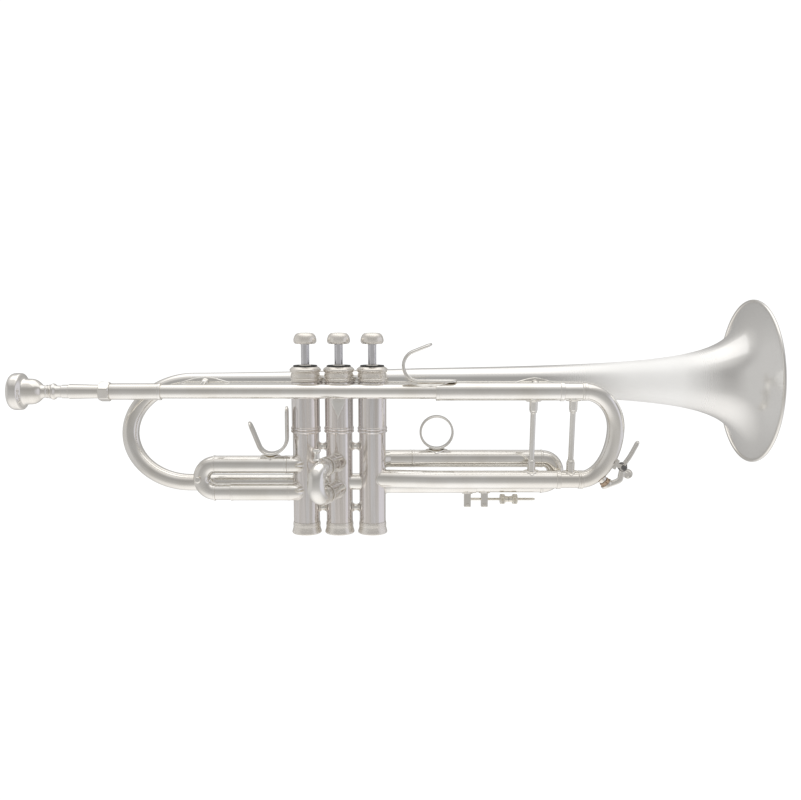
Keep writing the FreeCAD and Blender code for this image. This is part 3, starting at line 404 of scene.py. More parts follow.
def pillow_foot(mesh, axis_point, along, outward, length, tube_r, width=None, thick=0.8 * MM, power=1.0):
    """A diamond plate wrapped on a tube, thick in the middle and thin at its edge."""
    width = width or tube_r * 0.95
    across = outward.cross(along)
    rows = []
    long_steps, cross_steps = 28, 16
    for i in range(long_steps + 1):
        s = -1 + 2 * i / long_steps
        half = width * max(0.0, 1 - abs(s) ** power) + 0.02 * MM
        row = []
        for j in range(cross_steps + 1):
            t = -1 + 2 * j / cross_steps
            angle = t * half / tube_r
            edge = min(1.0, (1 - abs(t)) * half / (0.7 * MM), (1 - abs(s)) * length / (1.6 * MM))
            lift = tube_r - 0.1 * MM + (thick + 0.1 * MM) * math.sqrt(max(0.0, edge))
            normal = outward * math.cos(angle) + across * math.sin(angle)
            row.append(axis_point + along * (s * length / 2) + normal * lift)
        rows.append(row)
    mesh.grid(rows, wrap=False)


def strap(mesh, path, side, width, thick, tip_start=False, tip_end=False, steps=28):
    """A flat strip with rounded edges; chosen ends are rounded off."""
    lengths = [0.0]
    for a, b in zip(path, path[1:]):
        lengths.append(lengths[-1] + (b - a).length)
    total = lengths[-1]

    def rounding(from_tip):
        """Share of the full width, at a distance from a round tip."""
        return math.sqrt(max(0.0, 1 - max(0.0, 1 - from_tip / (width / 2)) ** 2))

    def section(angle, i):
        share = 1.0
        if tip_start:
            share = min(share, rounding(lengths[i]))
        if tip_end:
            share = min(share, rounding(total - lengths[i]))
        share = max(share, 0.06)
        return oval(angle, width / 2 * share, thick / 2 * (0.6 + 0.4 * share), 0.45, 0.75)

    mesh.sweep(path, 1.0, steps, section=section, side=side)


# --- materials -------------------------------------------------------------------------------

class Nodes:
    """A node tree with short calls for what repeats."""

    def __init__(self, owner):
        owner.use_nodes = True
        self.tree = owner.node_tree

    def link(self, output, target):
        self.tree.links.new(output, target)

    def feed(self, value, target):
        """Link an output, or set a number or a colour."""
        if isinstance(value, tuple):
            target.default_value = (*value, 1)
        elif isinstance(value, (int, float)):
            target.default_value = value
        else:
            self.link(value, target)

    def spread(self, value, low_in, high_in, low_out=0.0, high_out=1.0):
        made = self.tree.nodes.new("ShaderNodeMapRange")
        numbers = {"From Min": low_in, "From Max": high_in, "To Min": low_out, "To Max": high_out}
        for key, number in numbers.items():
            made.inputs[key].default_value = number
        self.link(value, made.inputs["Value"])
        return made.outputs["Result"]

    def mix(self, factor, first, second):
        made = self.tree.nodes.new("ShaderNodeMix")
        made.data_type = "RGBA"
        self.link(factor, made.inputs[0])
        self.feed(first, made.inputs[6])
        self.feed(second, made.inputs[7])
        return made.outputs[2]

    def math(self, operation, first, second):
        made = self.tree.nodes.new("ShaderNodeMath")
        made.operation = operation
        self.feed(first, made.inputs[0])
        self.feed(second, made.inputs[1])
        return made.outputs[0]

    def parts(self, vector):
        """The X, Y and Z of a vector."""
        split = self.tree.nodes.new("ShaderNodeSeparateXYZ")
        self.link(vector, split.inputs["Vector"])
        return split.outputs


class Shader(Nodes):
    """A material's node tree."""

    def __init__(self, name, metallic=None):
        self.material = bpy.data.materials.new(name)
        super().__init__(self.material)
        self.principled = self.tree.nodes["Principled BSDF"]
        self.position = self.tree.nodes.new("ShaderNodeTexCoord").outputs["Object"]
        if metallic is not None:
            self.put("Metallic", metallic)

    def put(self, socket, value):
        self.principled.inputs[socket].default_value = value

    def node(self, kind, **inputs):
        made = self.tree.nodes.new(kind)
        for key, value in inputs.items():
            made.inputs[key.replace("_", " ")].default_value = value
        return made

    def stretched(self, scale):
        mapping = self.node("ShaderNodeMapping")
        mapping.inputs["Scale"].default_value = scale
        self.link(self.position, mapping.inputs["Vector"])
        return mapping.outputs["Vector"]

    def noise(self, scale, detail=4.0, stretch=None, roughness=0.55):
        made = self.node("ShaderNodeTexNoise", Scale=scale, Detail=detail, Roughness=roughness)
        self.link(self.stretched(stretch) if stretch else self.position, made.inputs["Vector"])
        return made.outputs["Fac"]

    def crevice(self, distance):
        """1 in the open and lower in corners."""
        made = self.node("ShaderNodeAmbientOcclusion", Distance=distance)
        made.samples = 4
        return made.outputs["AO"]

    def bump(self, height, distance, strength=1.0):
        made = self.node("ShaderNodeBump", Strength=strength, Distance=distance)
        self.link(height, made.inputs["Height"])
        self.link(made.outputs["Normal"], self.principled.inputs["Normal"])

    def colour(self, output):
        self.link(output, self.principled.inputs["Base Color"])

    def roughness(self, output):
        self.link(output, self.principled.inputs["Roughness"])


def plated(name, colour, tarnish, rough, grain=1.0, tarnish_share=0.5, metallic=1.0):
    """Polished plate: clouded colour, tarnish in corners, hairline polishing marks."""
    shader = Shader(name, metallic)
    clouds = shader.spread(shader.noise(34, 5), 0.35, 0.7, 0.0, 0.35)
    corner = shader.spread(shader.crevice(2.2 * MM), 0.35, 0.95, tarnish_share, 0.0)
    shader.colour(shader.mix(shader.math("MAXIMUM", clouds, corner), colour, tarnish))
    marks = shader.noise(240, 3, stretch=(0.25, 3.0, 3.0))
    smudge = shader.noise(52, 4)
    varied = shader.math("ADD", shader.spread(marks, 0.3, 0.75, 0.0, rough * 0.5 * grain),
                         shader.spread(smudge, 0.45, 0.75, 0.0, rough * 0.6))
    shader.roughness(shader.math("ADD", varied, rough))
    shader.bump(shader.noise(700, 2, stretch=(0.15, 2.0, 2.0)), 0.004 * MM * grain)
    return shader.material


def satin_bell(name):
    """Satin bell: rings of fine lines, frosted between a smoother stem and rim."""
    shader = Shader(name)
    along = shader.parts(shader.position)["X"]
    frost = shader.math("MULTIPLY", shader.spread(along, BELL_FROST_FROM, BELL_FROST_FULL),
                        shader.spread(along, BELL_RIM_SMOOTH_FROM, BELL_RIM_SMOOTH_FULL, 1.0, 0.15))
    shader.link(shader.spread(frost, 0.0, 1.0, 1.0, BELL_FROST_METAL), shader.principled.inputs["Metallic"])
    lines = shader.noise(1.0, 3, stretch=(2600, 26, 26), roughness=0.7)
    clouds = shader.noise(16, 4)
    cloudy = shader.spread(clouds, 0.35, 0.7, 0.0, 0.6)
    shader.colour(shader.mix(cloudy, (0.88, 0.875, 0.86), (0.80, 0.79, 0.77)))
    matte = shader.spread(frost, 0.0, 1.0, 0.11, 0.42)
    shader.roughness(shader.math("ADD", matte, shader.spread(lines, 0.3, 0.7, -0.03, 0.05)))
    shader.bump(lines, 0.0015 * MM)
    return shader.material


def drawn_casing(name):
    """Plated casing: fine lengthwise draw lines, with warm and cool streaks from polishing."""
    shader = Shader(name, 0.94)
    streaks = shader.noise(1.0, 4, stretch=(420, 420, 9), roughness=0.6)
    tone = shader.noise(1.0, 3, stretch=(150, 150, 4), roughness=0.5)
    warm = shader.mix(shader.spread(tone, 0.4, 0.6), (0.97, 0.92, 0.89), (0.90, 0.89, 0.90))
    worn = shader.mix(shader.spread(streaks, 0.42, 0.62, 0.0, 0.75), warm, (0.76, 0.72, 0.68))
    corner = shader.spread(shader.crevice(2.2 * MM), 0.35, 0.95, 0.45, 0.0)
    shader.colour(shader.mix(corner, worn, (0.58, 0.52, 0.44)))
    shader.roughness(shader.spread(streaks, 0.3, 0.7, 0.07, 0.17))
    shader.bump(streaks, 0.012 * MM)
    return shader.material


def turned_metal(name, colour, rough):
    """Fine turned rings across a vertical part."""
    shader = Shader(name, 1.0)
    rings = shader.noise(1.0, 3, stretch=(60, 60, 4200), roughness=0.7)
    shader.colour(shader.mix(shader.noise(90, 3), colour, tuple(c * 0.86 for c in colour)))
    shader.roughness(shader.spread(rings, 0.3, 0.7, rough * 0.8, rough * 1.4))
    shader.bump(rings, 0.006 * MM)
    return shader.material


def brass_part(name):
    """Lacquered brass with slight brown spots."""
    shader = Shader(name, 1.0)
    shader.put("Coat Weight", 0.35)
    shader.put("Coat Roughness", 0.12)
    spots = shader.spread(shader.noise(420, 4), 0.55, 0.72, 0.0, 0.6)
    shader.colour(shader.mix(spots, (0.88, 0.85, 0.77), (0.68, 0.60, 0.46)))
    shader.roughness(shader.spread(shader.noise(900, 3), 0.3, 0.7, 0.16, 0.3))
    shader.bump(shader.noise(1500, 2), 0.006 * MM)
    return shader.material


def spring_wire(name):
    shader = Shader(name, 1.0)
    shader.colour(shader.mix(shader.noise(300, 3), (0.16, 0.16, 0.17), (0.34, 0.33, 0.32)))
    shader.roughness(shader.spread(shader.noise(800, 3), 0.3, 0.7, 0.22, 0.42))
    shader.bump(shader.noise(2200, 2), 0.01 * MM)
    return shader.material


def lapped_piston(name):
    """Lapped nickel alloy with crossing hairlines."""
    shader = Shader(name, 1.0)
    around = shader.noise(1.0, 3, stretch=(90, 90, 3600))
    shader.colour(shader.mix(shader.noise(60, 4), (0.66, 0.65, 0.61), (0.52, 0.50, 0.46)))
    shader.roughness(shader.spread(around, 0.3, 0.7, 0.24, 0.4))
    shader.bump(around, 0.008 * MM)
    return shader.material


def wool_felt(name):
    """Pressed felt: matted fibres and a soft sheen."""
    shader = Shader(name)
    shader.put("Sheen Weight", 0.06)
    shader.put("Sheen Roughness", 0.5)
    shader.put("Roughness", 0.95)
    fibres = shader.noise(2600, 5, roughness=0.8)
    shader.colour(shader.mix(fibres, (0.012, 0.012, 0.012), (0.07, 0.068, 0.064)))
    shader.bump(fibres, 0.25 * MM)
    return shader.material


def natural_cork(name):
    """Cork: tan cells with darker pores."""
    shader = Shader(name)
    cells = shader.node("ShaderNodeTexVoronoi", Scale=1500.0)
    shader.link(shader.position, cells.inputs["Vector"])
    pores = shader.spread(shader.noise(900, 5, roughness=0.75), 0.52, 0.62, 0.0, 1.0)
    tan = shader.mix(shader.spread(cells.outputs["Distance"], 0.0, 0.6, 0.0, 1.0),
                     (0.30, 0.21, 0.14), (0.46, 0.35, 0.25))
    shader.colour(shader.mix(pores, tan, (0.10, 0.045, 0.02)))
    shader.put("Roughness", 0.85)
    shader.bump(pores, -0.12 * MM)
    return shader.material


def mother_of_pearl(name):
    """Pearl disc: milky layers that drift between cream, rose and green."""
    shader = Shader(name)
    layers = shader.noise(150, 6, stretch=(1.0, 2.6, 1.0), roughness=0.7)
    drift = shader.noise(70, 4)
    warm = shader.mix(shader.spread(drift, 0.35, 0.65), (0.82, 0.78, 0.66), (0.80, 0.72, 0.66))
    shader.colour(shader.mix(shader.spread(layers, 0.4, 0.65), warm, (0.70, 0.76, 0.66)))
    shader.put("Coat Weight", 0.6)
    shader.put("Coat Roughness", 0.05)
    shader.roughness(shader.spread(layers, 0.3, 0.7, 0.16, 0.32))
    shader.bump(layers, 0.02 * MM)
    return shader.material


SILVER = (0.94, 0.93, 0.905)
TARNISH = (0.66, 0.60, 0.50)
BELL_FROST_METAL = 0.24
BELL_FROST_FROM = 0.15
BELL_FROST_FULL = 0.215
BELL_RIM_SMOOTH_FROM = 0.256
BELL_RIM_SMOOTH_FULL = 0.286

materials = {
    "bell_silver": satin_bell("bell_silver"),
    "rim_silver": plated("rim_silver", SILVER, TARNISH, 0.09),
    "tube_silver": plated("tube_silver", SILVER, TARNISH, 0.075),
    "fitting_silver": plated("fitting_silver", (0.93, 0.92, 0.89), TARNISH, 0.10),
    "casing_silver": drawn_casing("casing_silver"),
    "mouthpiece_silver": plated("mouthpiece_silver", SILVER, TARNISH, 0.07),
    "nickel_trim": plated("nickel_trim", (0.93, 0.90, 0.85), (0.66, 0.60, 0.52), 0.2, metallic=0.84),
    "stem_metal": turned_metal("stem_metal", (0.80, 0.80, 0.83), 0.14),
    "piston_monel": lapped_piston("piston_monel"),
    "spring_steel": spring_wire("spring_steel"),
    "stop_brass": brass_part("stop_brass"),
    "felt": wool_felt("felt"),
    "cork": natural_cork("cork"),
    "pearl": mother_of_pearl("pearl"),
}


def paint_cad_nodes():
    """Every CAD node that still shows takes its slot's material."""
    slots = {part["node"]: part["material_slot"] for part in frame["record"]["subparts"]}
    for name, node in frame["nodes"].items():
        node.data.materials.clear()
        node.data.materials.append(materials[slots[name]])


# --- places read from the frame ------------------------------------------------------------------

LEAD = centre("leadpipe")
RIM_LOW, RIM_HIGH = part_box("bell_rim_wire")
BELL = (RIM_LOW + RIM_HIGH) / 2
BELL_RIM_X = RIM_HIGH.x + 0.25 * MM
BELL_RIM_R = (RIM_HIGH.z - RIM_LOW.z) / 2
BELL_JOINT_X = low("bell_flare").x
BELL_TAIL_X = low("bell_stem").x
TUNING_LOW = Vector((0, high("tuning_slide_legs").y - RING_R, low("tuning_slide_legs").z + RING_R))
FIRST_TOP = Vector((0, centre("first_slide_legs").y, high("first_slide_legs").z - RING_R))
FIRST_LOW = Vector((0, FIRST_TOP.y, low("first_slide_legs").z + LEG_R))
THIRD_TOP = Vector((0, centre("third_slide_legs").y, high("third_slide_legs").z - SLEEVE_R))
THIRD_LOW = Vector((0, THIRD_TOP.y, low("third_slide_legs").z + LEG_R))
TAIL_Y = low("bell_bow").y + BELL_BOW_R
VALVE_X = [centre(f"piston_{i}").x for i in VALVES]
JOINTS = {joint["name"]: joint for joint in frame["joints"]}


def lead(x):
    return at(x, LEAD)


def tuning_low(x):
    return at(x, TUNING_LOW)


# --- bell ----------------------------------------------------------------------------------------

def bell_radius(x):
    """The bell's outside radius: the flare's curve, drawn in along the stem."""
    back = BELL_RIM_X - RIM_WIRE_R - x
    widest = BELL_RIM_R - RIM_WIRE_R - BELL_THROAT_R
    flare = BELL_THROAT_R + widest * (1 + back / BELL_CURVE_LEN) ** -BELL_CURVE_POWER
    stem = BELL_BOW_R + 0.00155 * MM * (max(0.0, x - BELL_TAIL_X) / MM) ** 1.5
    return min(flare, stem) if x < BELL_JOINT_X else flare


def bell_stations():
    """Places along the bell, closer together towards the rim."""
    end = BELL_RIM_X - RIM_WIRE_R
    stations = [BELL_TAIL_X + (BELL_JOINT_X - BELL_TAIL_X) * k / 40 for k in range(41)]
    count = 80
    for k in range(1, count + 1):
        stations.append(end - (end - BELL_JOINT_X) * (1 - k / count) ** 1.8)
    return stations


def build_bell():
    """Flare and stem spun in one smooth curve with a wall, and the wired rim's bead."""
    outside = []
    inside = []
    for x in bell_stations():
        slope = (bell_radius(x + 0.1 * MM) - bell_radius(x - 0.1 * MM)) / (0.2 * MM)
        length = math.hypot(1, slope)
        outside.append((x, bell_radius(x)))
        inside.append((x + BELL_WALL * slope / length, bell_radius(x) - BELL_WALL / length))
    mesh = Mesh()
    mesh.lathe(outside + inside[::-1], at(0, BELL), X_AXIS, 160)
    finish_piece(mesh, "bell_body", BODY, "bell_silver", ["bell_flare", "bell_stem"])
    bead = []
    for k in range(24):
        angle = 2 * math.pi * k / 24
        x = BELL_RIM_X - RIM_WIRE_R + RIM_WIRE_R * math.cos(angle)
        bead.append((min(x, RIM_HIGH.x), BELL_RIM_R - RIM_WIRE_R + RIM_WIRE_R * math.sin(angle)))
    mesh = Mesh()
    mesh.lathe(bead, at(0, BELL), X_AXIS, 192)
    finish_piece(mesh, "bell_rim_bead", BODY, "rim_silver", ["bell_rim_wire"])


def build_bell_bow():
    top = at(BELL_TAIL_X, BELL)
    tail_z = low("bell_bow").z + BELL_BOW_R
    bottom = Vector((BELL_TAIL_X, TAIL_Y, tail_z))
    reach = BELL_TAIL_X - low("bell_bow").x - BELL_BOW_R
    bend = half_oval(top, bottom, -X_AXIS, reach)
    corner = Vector((VALVE_X[0] - 10 * MM, TAIL_Y, tail_z))
    mouth = Vector((VALVE_X[0] - 8 * MM, TAIL_Y * 0.72, tail_z))
    mesh = Mesh()
    straight = [bottom + X_AXIS * 30 * MM, corner - X_AXIS * 3 * MM, corner, mouth]
    port_tube(mesh, bend + straight, BELL_BOW_R, VALVE_X[0])
    finish_piece(mesh, "bell_bow_tube", BODY, "tube_silver", ["bell_bow"])


# --- leadpipe and tuning slide -------------------------------------------------------------------

def build_leadpipe():
    start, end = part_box("leadpipe")
    wide = (end.z - start.z) / 2
    mesh = Mesh()
    mesh.lathe([(0, 4.5 * MM), (0, wide - 0.4 * MM), (end.x - start.x, wide), (end.x - start.x, 4.9 * MM)],
               lead(start.x), X_AXIS, 64)
    finish_piece(mesh, "leadpipe_tube", BODY, "tube_silver", ["leadpipe"])


def build_receiver():
    """Hexagonal collar with its round chamfers, then the sleeve with an end bead."""
    start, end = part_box("mouthpiece_receiver")
    collar = start.x + 8.0 * MM
    steps = 144
    flat_r = 7.4 * MM * math.cos(math.pi / 6)
    profile = [(0, 5.05), (0, 6.1), (0.25, 6.5), (0.8, 7.05), (1.4, 7.5), (6.6, 7.5), (7.2, 7.05),
               (7.75, 6.5),
               (8.0, 6.1), (8.0, 5.0)]
    rows = []
    for distance, radius in profile:
        row = []
        for j in range(steps):
            angle = 2 * math.pi * j / steps
            local = (angle - math.radians(40)) % (math.pi / 3) - math.pi / 6
            r = min(radius * MM, flat_r / math.cos(local))
            row.append(lead(start.x + distance * MM) + Vector((0, math.cos(angle) * r, math.sin(angle) * r)))
        rows.append(row)
    mesh = Mesh()
    mesh.grid(rows)
    bead = end.x - 2 * MM
    outline = [(collar, 5.0), (collar, 5.95), (bead, 5.95), (bead, 6.3), (end.x, 6.3), (end.x, 5.0)]
    mesh.lathe(soften([(x, r * MM) for x, r in outline], 0.4 * MM), lead(0), X_AXIS, 72)
    finish_piece(mesh, "receiver_sleeve", BODY, "tube_silver", ["mouthpiece_receiver"])


def sleeve(mesh, start, end, lip, lip_len):
    """A slide's outer tube, with a softened ferrule at its end."""
    length = (end - start).length
    step = length - lip_len
    outline = [(0, LEG_R), (0, SLEEVE_R), (step, SLEEVE_R), (step + 0.15 * MM, lip), (length, lip),
               (length, LEG_R)]
    mesh.lathe(soften(outline, 0.3 * MM), start, end - start, 72)


def build_tuning_sleeves():
    start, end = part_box("tuning_slide_sleeves")
    mesh = Mesh()
    for place in (lead, tuning_low):
        sleeve(mesh, place(start.x), place(end.x), FERRULE_R, 3 * MM)
    ring(mesh, lead(start.x - 0.3 * MM), lead(start.x + 2.2 * MM), SLEEVE_R + 0.25 * MM, 5 * MM, 0.2 * MM)
    finish_piece(mesh, "tuning_sleeve_pair", BODY, "tube_silver", ["tuning_slide_sleeves"])


def build_tuning_elbow():
    seam = low("tuning_slide_sleeves").x
    corner = tuning_low(VALVE_X[2] - PORT_SHIFT)
    path = rounded_route([tuning_low(seam), corner, corner + Y_AXIS * PORT_TURN], ELBOW_R, 24)
    mesh = Mesh()
    port_tube(mesh, [p for p in path if p.y < TUNING_LOW.y + PORT_REACH], SLEEVE_R, VALVE_X[2])
    rod(mesh, tuning_low(seam - 1 * MM), tuning_low(seam + 1 * MM), SLEEVE_R - 0.04 * MM, steps=72)
    finish_piece(mesh, "tuning_elbow_tube", BODY, "tube_silver", ["tuning_elbow"])


def tuning_bow_points():
    start = high("tuning_slide_legs").x
    reach = high("tuning_slide_bow").x - BOW_R - start
    top, bottom = lead(start), tuning_low(start)
    return half_oval(top, bottom, X_AXIS, reach, TUNING_WIDEST / (top - bottom).length)


def bow_spot(angle_deg):
    """A point on the tuning bow's lower quarter, its outward direction and its heading."""
    points = tuning_bow_points()
    place = round((180 - angle_deg) / 180 * (len(points) - 1))
    heading = (points[place + 1] - points[place - 1]).normalized()
    up = (points[0] - points[-1]).normalized()
    plane = X_AXIS.cross(up)
    outward = heading.cross(plane).normalized()
    if outward.x < 0:
        outward = -outward
    return points[place], outward, heading


def build_tuning_bow():
    """The bow, its end bands, and the drain nipple under the water key."""
    path = tuning_bow_points()
    mesh = Mesh()
    mesh.sweep(path, BOW_R, 56)
    for end in (path[0], path[-1]):
        ring(mesh, end, end + X_AXIS * 2.2 * MM, RING_R, 5 * MM, 0.25 * MM)
    hole, outward, _ = bow_spot(KEY_HOLE_DEG)
    nipple = [(4, 1.6), (4, 3.7), (6.4, 3.4), (8.0, 3.1), (8.15, 1.6)]
    mesh.lathe(turned(nipple, 0.3), hole, outward, 48)
    finish_piece(mesh, "tuning_bow_tube", "tuning_slide", "tube_silver", ["tuning_slide_bow"])


def build_tuning_legs():
    start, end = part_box("tuning_slide_legs")
    mesh = Mesh()
    for place in (lead, tuning_low):
        outline = [(start.x, BORE_R), (start.x, LEG_R), (end.x - 1.6 * MM, LEG_R), (end.x - 1.4 * MM, RING_R),
                   (end.x, RING_R), (end.x, BORE_R)]
        mesh.lathe(soften(outline, 0.25 * MM), place(0), X_AXIS, 72)
    finish_piece(mesh, "tuning_leg_pair", "tuning_slide", "tube_silver", ["tuning_slide_legs"])


def upright_brace(name, node, body, tube_r):
    """Turned pillar with sockets and diamond feet between the upper and lower tubes."""
    x = centre(node).x
    top, bottom = lead(x), tuning_low(x)
    up = (top - bottom).normalized()
    length = (top - bottom).length
    foot = tube_r - 0.05 * MM
    socket = 9 * MM
    outline = [(foot, 0), (foot, 3.3 * MM), (foot + 0.7 * MM, 3.0 * MM), (foot + socket - 1.6 * MM, 3.0 * MM),
               (foot + socket - 0.9 * MM, 2.5 * MM), (foot + socket - 0.3 * MM, 2.75 * MM),
               (foot + socket + 0.4 * MM, 1.95 * MM)]
    mirrored = [(length - distance, radius) for distance, radius in reversed(outline)]
    mesh = Mesh()
    mesh.lathe(soften(outline + mirrored, 0.5 * MM), bottom, up, 56)
    pillow_foot(mesh, bottom, X_AXIS, up, 12 * MM, tube_r)
    pillow_foot(mesh, top, X_AXIS, -up, 12 * MM, tube_r)
    finish_piece(mesh, name, body, "fitting_silver", [node])


# --- water key -----------------------------------------------------------------------------------

def at_height_of_key(point):
    """The point moved along Y into the water key's middle plane."""
    return Vector((point.x, centre("water_key_lever").y, point.z))


def build_water_key():
    """Barrel with a round counter disc, cranked arm with its cork cup, and a flattened finger tip."""
    pivot = at_height_of_key(centre("water_key_screw"))
    cork = centre("water_key_cork")
    tip = at_height_of_key(high("water_key_lever")) - offset(1.25, 1.25)
    _, outward, _ = bow_spot(KEY_HOLE_DEG)
    mesh = Mesh()
    half = Y_AXIS * KEY_BARREL_HALF
    ring(mesh, pivot - half, pivot + half, 2.6 * MM, 1.06 * MM, 0.35 * MM, 48)
    boss = pivot + offset(4.0, -5.2)
    dish = [(-1.4, 0), (-1.4, 3.6), (1.4, 3.6), (1.4, 2.6), (0.9, 2.2), (0.9, 0)]
    mesh.lathe(turned(dish, 0.35), boss, -Y_AXIS, 48)
    strap(mesh, [pivot + offset(0.6, -1.5), boss + offset(0, 1.5)], Y_AXIS, 2.6 * MM, 2.4 * MM)
    cup_top = cork + outward * (CORK_HALF + 0.9 * MM)
    crank = pivot + offset(-2.5, -9.5)
    arm = smooth_curve([pivot + offset(0, -1.5), crank + offset(1.6, 3.2), crank + offset(0.2, -0.8),
                        cup_top], 8)
    strap(mesh, arm, Y_AXIS, 4.6 * MM, 3.8 * MM)
    cup = [(-1.2, 4.05), (-1.2, 4.5), (-0.8, 4.62), (0.6, 4.6), (1.1, 4.0), (1.3, 2.2), (1.3, 0), (0, 0),
           (0, 4.05)]
    mesh.lathe(turned(cup, 0.2), cork + outward * CORK_HALF, outward, 56)
    finger = smooth_curve([pivot + offset(0.9, 1.4), pivot.lerp(tip, 0.45) + offset(0.5, -0.4), tip], 10)
    strap(mesh, finger, Y_AXIS, 5.6 * MM, 2.5 * MM, tip_end=True)
    finish_piece(mesh, "water_key_arm", "water_key", "fitting_silver", ["water_key_lever"])

    mesh = Mesh()
    plug = [(0, 0), (0, 3.75 * MM), (2 * CORK_HALF, 3.98 * MM), (2 * CORK_HALF, 0)]
    mesh.lathe(soften(plug, 0.5 * MM), cork - outward * CORK_HALF, outward, 48)
    finish_piece(mesh, "water_key_pad", "water_key", "cork", ["water_key_cork"])

    mesh = Mesh()
    turns, per_turn = 2.2, 28
    for side, leg_step in ((-1, offset(0.1, 5.0)), (1, offset(0.2, 5.5))):
        coil = []
        for k in range(int(turns * per_turn) + 1):
            y = side * (1.55 * MM + KEY_COIL_STEP * k / per_turn)
            coil.append(on_circle(pivot + Y_AXIS * y, KEY_COIL_R, 2 * math.pi * k / per_turn))
        mesh.sweep([coil[0] + leg_step] + coil, 0.24 * MM, 10)
    finish_piece(mesh, "water_key_coil", "tuning_slide", "spring_steel", ["water_key_spring"])


def build_water_key_screw():
    start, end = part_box("water_key_screw")
    axis = centre("water_key_screw")
    length = (end.y - start.y) / MM
    outline = [(0.35, 0), (0.35, 0.5), (0, 0.7), (0, 1.9), (1.4, 1.9), (1.4, 1.0), (length, 1.0), (length, 0)]
    turned_piece("water_key_pivot_screw", "tuning_slide", "spring_steel", "water_key_screw", outline, 0.2,
                 Vector((axis.x, start.y, axis.z)), Y_AXIS, 40)


# --- valves --------------------------------------------------------------------------------------

def valve_base(index):
    return Vector((VALVE_X[index - 1], 0, 0))


def build_casing(index):
    """Lower casing, double bead and wider upper casing, with a groove near each end."""
    node = f"valve_casing_{index}"
    foot, top = low(node).z, high(node).z
    step = foot + CASING_STEP
    beads = [(-2.2, 9.85), (-1.9, 10.9), (-1.1, 11.2), (-0.3, 10.9), (0, 10.45), (0.3, 10.9), (1.1, 11.2),
             (1.9, 10.95), (2.3, 10.5)]
    outline = [(foot, 8.6), (foot, 9.6), (foot + 4.5 * MM, 9.6), (foot + 4.5 * MM, 9.85)]
    outline += [(step + z * MM, r) for z, r in beads]
    outline += [(top - 5.8 * MM, 10.5), (top - 5.8 * MM, 9.6), (top, 9.6), (top, 8.6)]
    mesh = Mesh()
    mesh.lathe(soften([(z, r * MM) for z, r in outline], 0.3 * MM), valve_base(index), Z_AXIS, 128)
    finish_piece(mesh, f"casing_{index}", BODY, "casing_silver", [node])


def cap_set(name, node, outline, edge, knurl):
    """One turned and knurled cap on each valve."""
    mesh = Mesh()
    for x in VALVE_X:
        mesh.lathe(turned(outline, edge), Vector((x, 0, low(node).z)), Z_AXIS, 216, knurl)
    finish_piece(mesh, name, BODY, "nickel_trim", [node], sharp_deg=50)


def build_caps():
    """Beaded caps top and bottom, and the felts under the buttons."""
    top = [(0, 9.7), (0, 10.3), (0.5, 10.75), (2.2, 10.85), (2.7, 10.35), (3.0, 10.35), (3.4, 10.7),
           (4.7, 10.85),
           (6.0, 10.7), (6.5, 10.25), (6.8, 10.25), (7.4, 10.95), (8.1, 11.45), (8.8, 11.65), (9.5, 11.4),
           (10.4, 10.4), (11.2, 9.2), (11.2, 4.7), (12.6, 4.3), (12.6, 3.2), (6.3, 3.2), (6.3, 9.7)]
    cap_set("top_cap_set", "top_caps", top, 0.3, (3.6 * MM, 5.8 * MM, 72, 0.07 * MM))
    bottom = [(9.4, 9.65), (9.4, 10.0), (8.4, 10.1), (8.0, 10.25), (6.4, 10.25), (6.1, 10.1), (4.4, 10.3),
              (2.9, 10.75), (1.6, 11.1), (0.9, 10.95), (0.5, 10.3), (0.15, 6.0), (0, 1.7), (0.6, 1.5),
              (3.0, 1.5),
              (3.0, 9.65)]
    cap_set("bottom_cap_set", "bottom_caps", bottom, 0.25, (6.6 * MM, 7.9 * MM, 72, 0.07 * MM))
    mesh = Mesh()
    for x in VALVE_X:
        foot, top = (Vector((x, 0, end("cap_felts").z)) for end in (low, high))
        ring(mesh, foot, top, 8.9 * MM, 4.8 * MM, 0.45 * MM, 96)
    finish_piece(mesh, "cap_felt_set", BODY, "felt", ["cap_felts"])


def build_button(index):
    """Domed button with its pearl, and the stem with its collar."""
    body = f"valve_{index}"
    base = valve_base(index)
    node = f"finger_button_{index}"
    outline = [(0, 0), (0, 6.9), (0.25, 7.6), (0.9, 8.0), (1.2, 8.35), (2.2, 8.5), (3.2, 8.45), (4.6, 8.15),
               (5.8, 7.7), (6.8, 7.0), (7.5, 6.2), (7.8, 5.6), (7.7, 5.42), (6.6, 5.4), (6.6, 0)]
    turned_piece(f"button_{index}", body, "nickel_trim", node, outline, 0.3, base + Z_AXIS * low(node).z,
                 Z_AXIS, 96)
    node = f"button_pearl_{index}"
    outline = [(0, 0), (0, 5.36), (1.1, 5.36), (1.3, 4.9), (1.45, 3.6), (1.55, 1.8), (1.6, 0)]
    mesh = Mesh()
    mesh.lathe([(d * MM, r * MM) for d, r in outline], base + Z_AXIS * low(node).z, Z_AXIS, 96)
    finish_piece(mesh, f"pearl_{index}", body, "pearl", [node])
    node = f"valve_stem_{index}"
    start, end = low(node).z / MM, high(node).z / MM
    outline = [(start, 0), (start, 3.1), (end - 2.6, 3.1), (end - 2.3, 3.4), (end - 1.6, 3.5), (end - 1.6, 0)]
    turned_piece(f"stem_{index}", body, "stem_metal", node, outline, 0.3, base, Z_AXIS, 64)


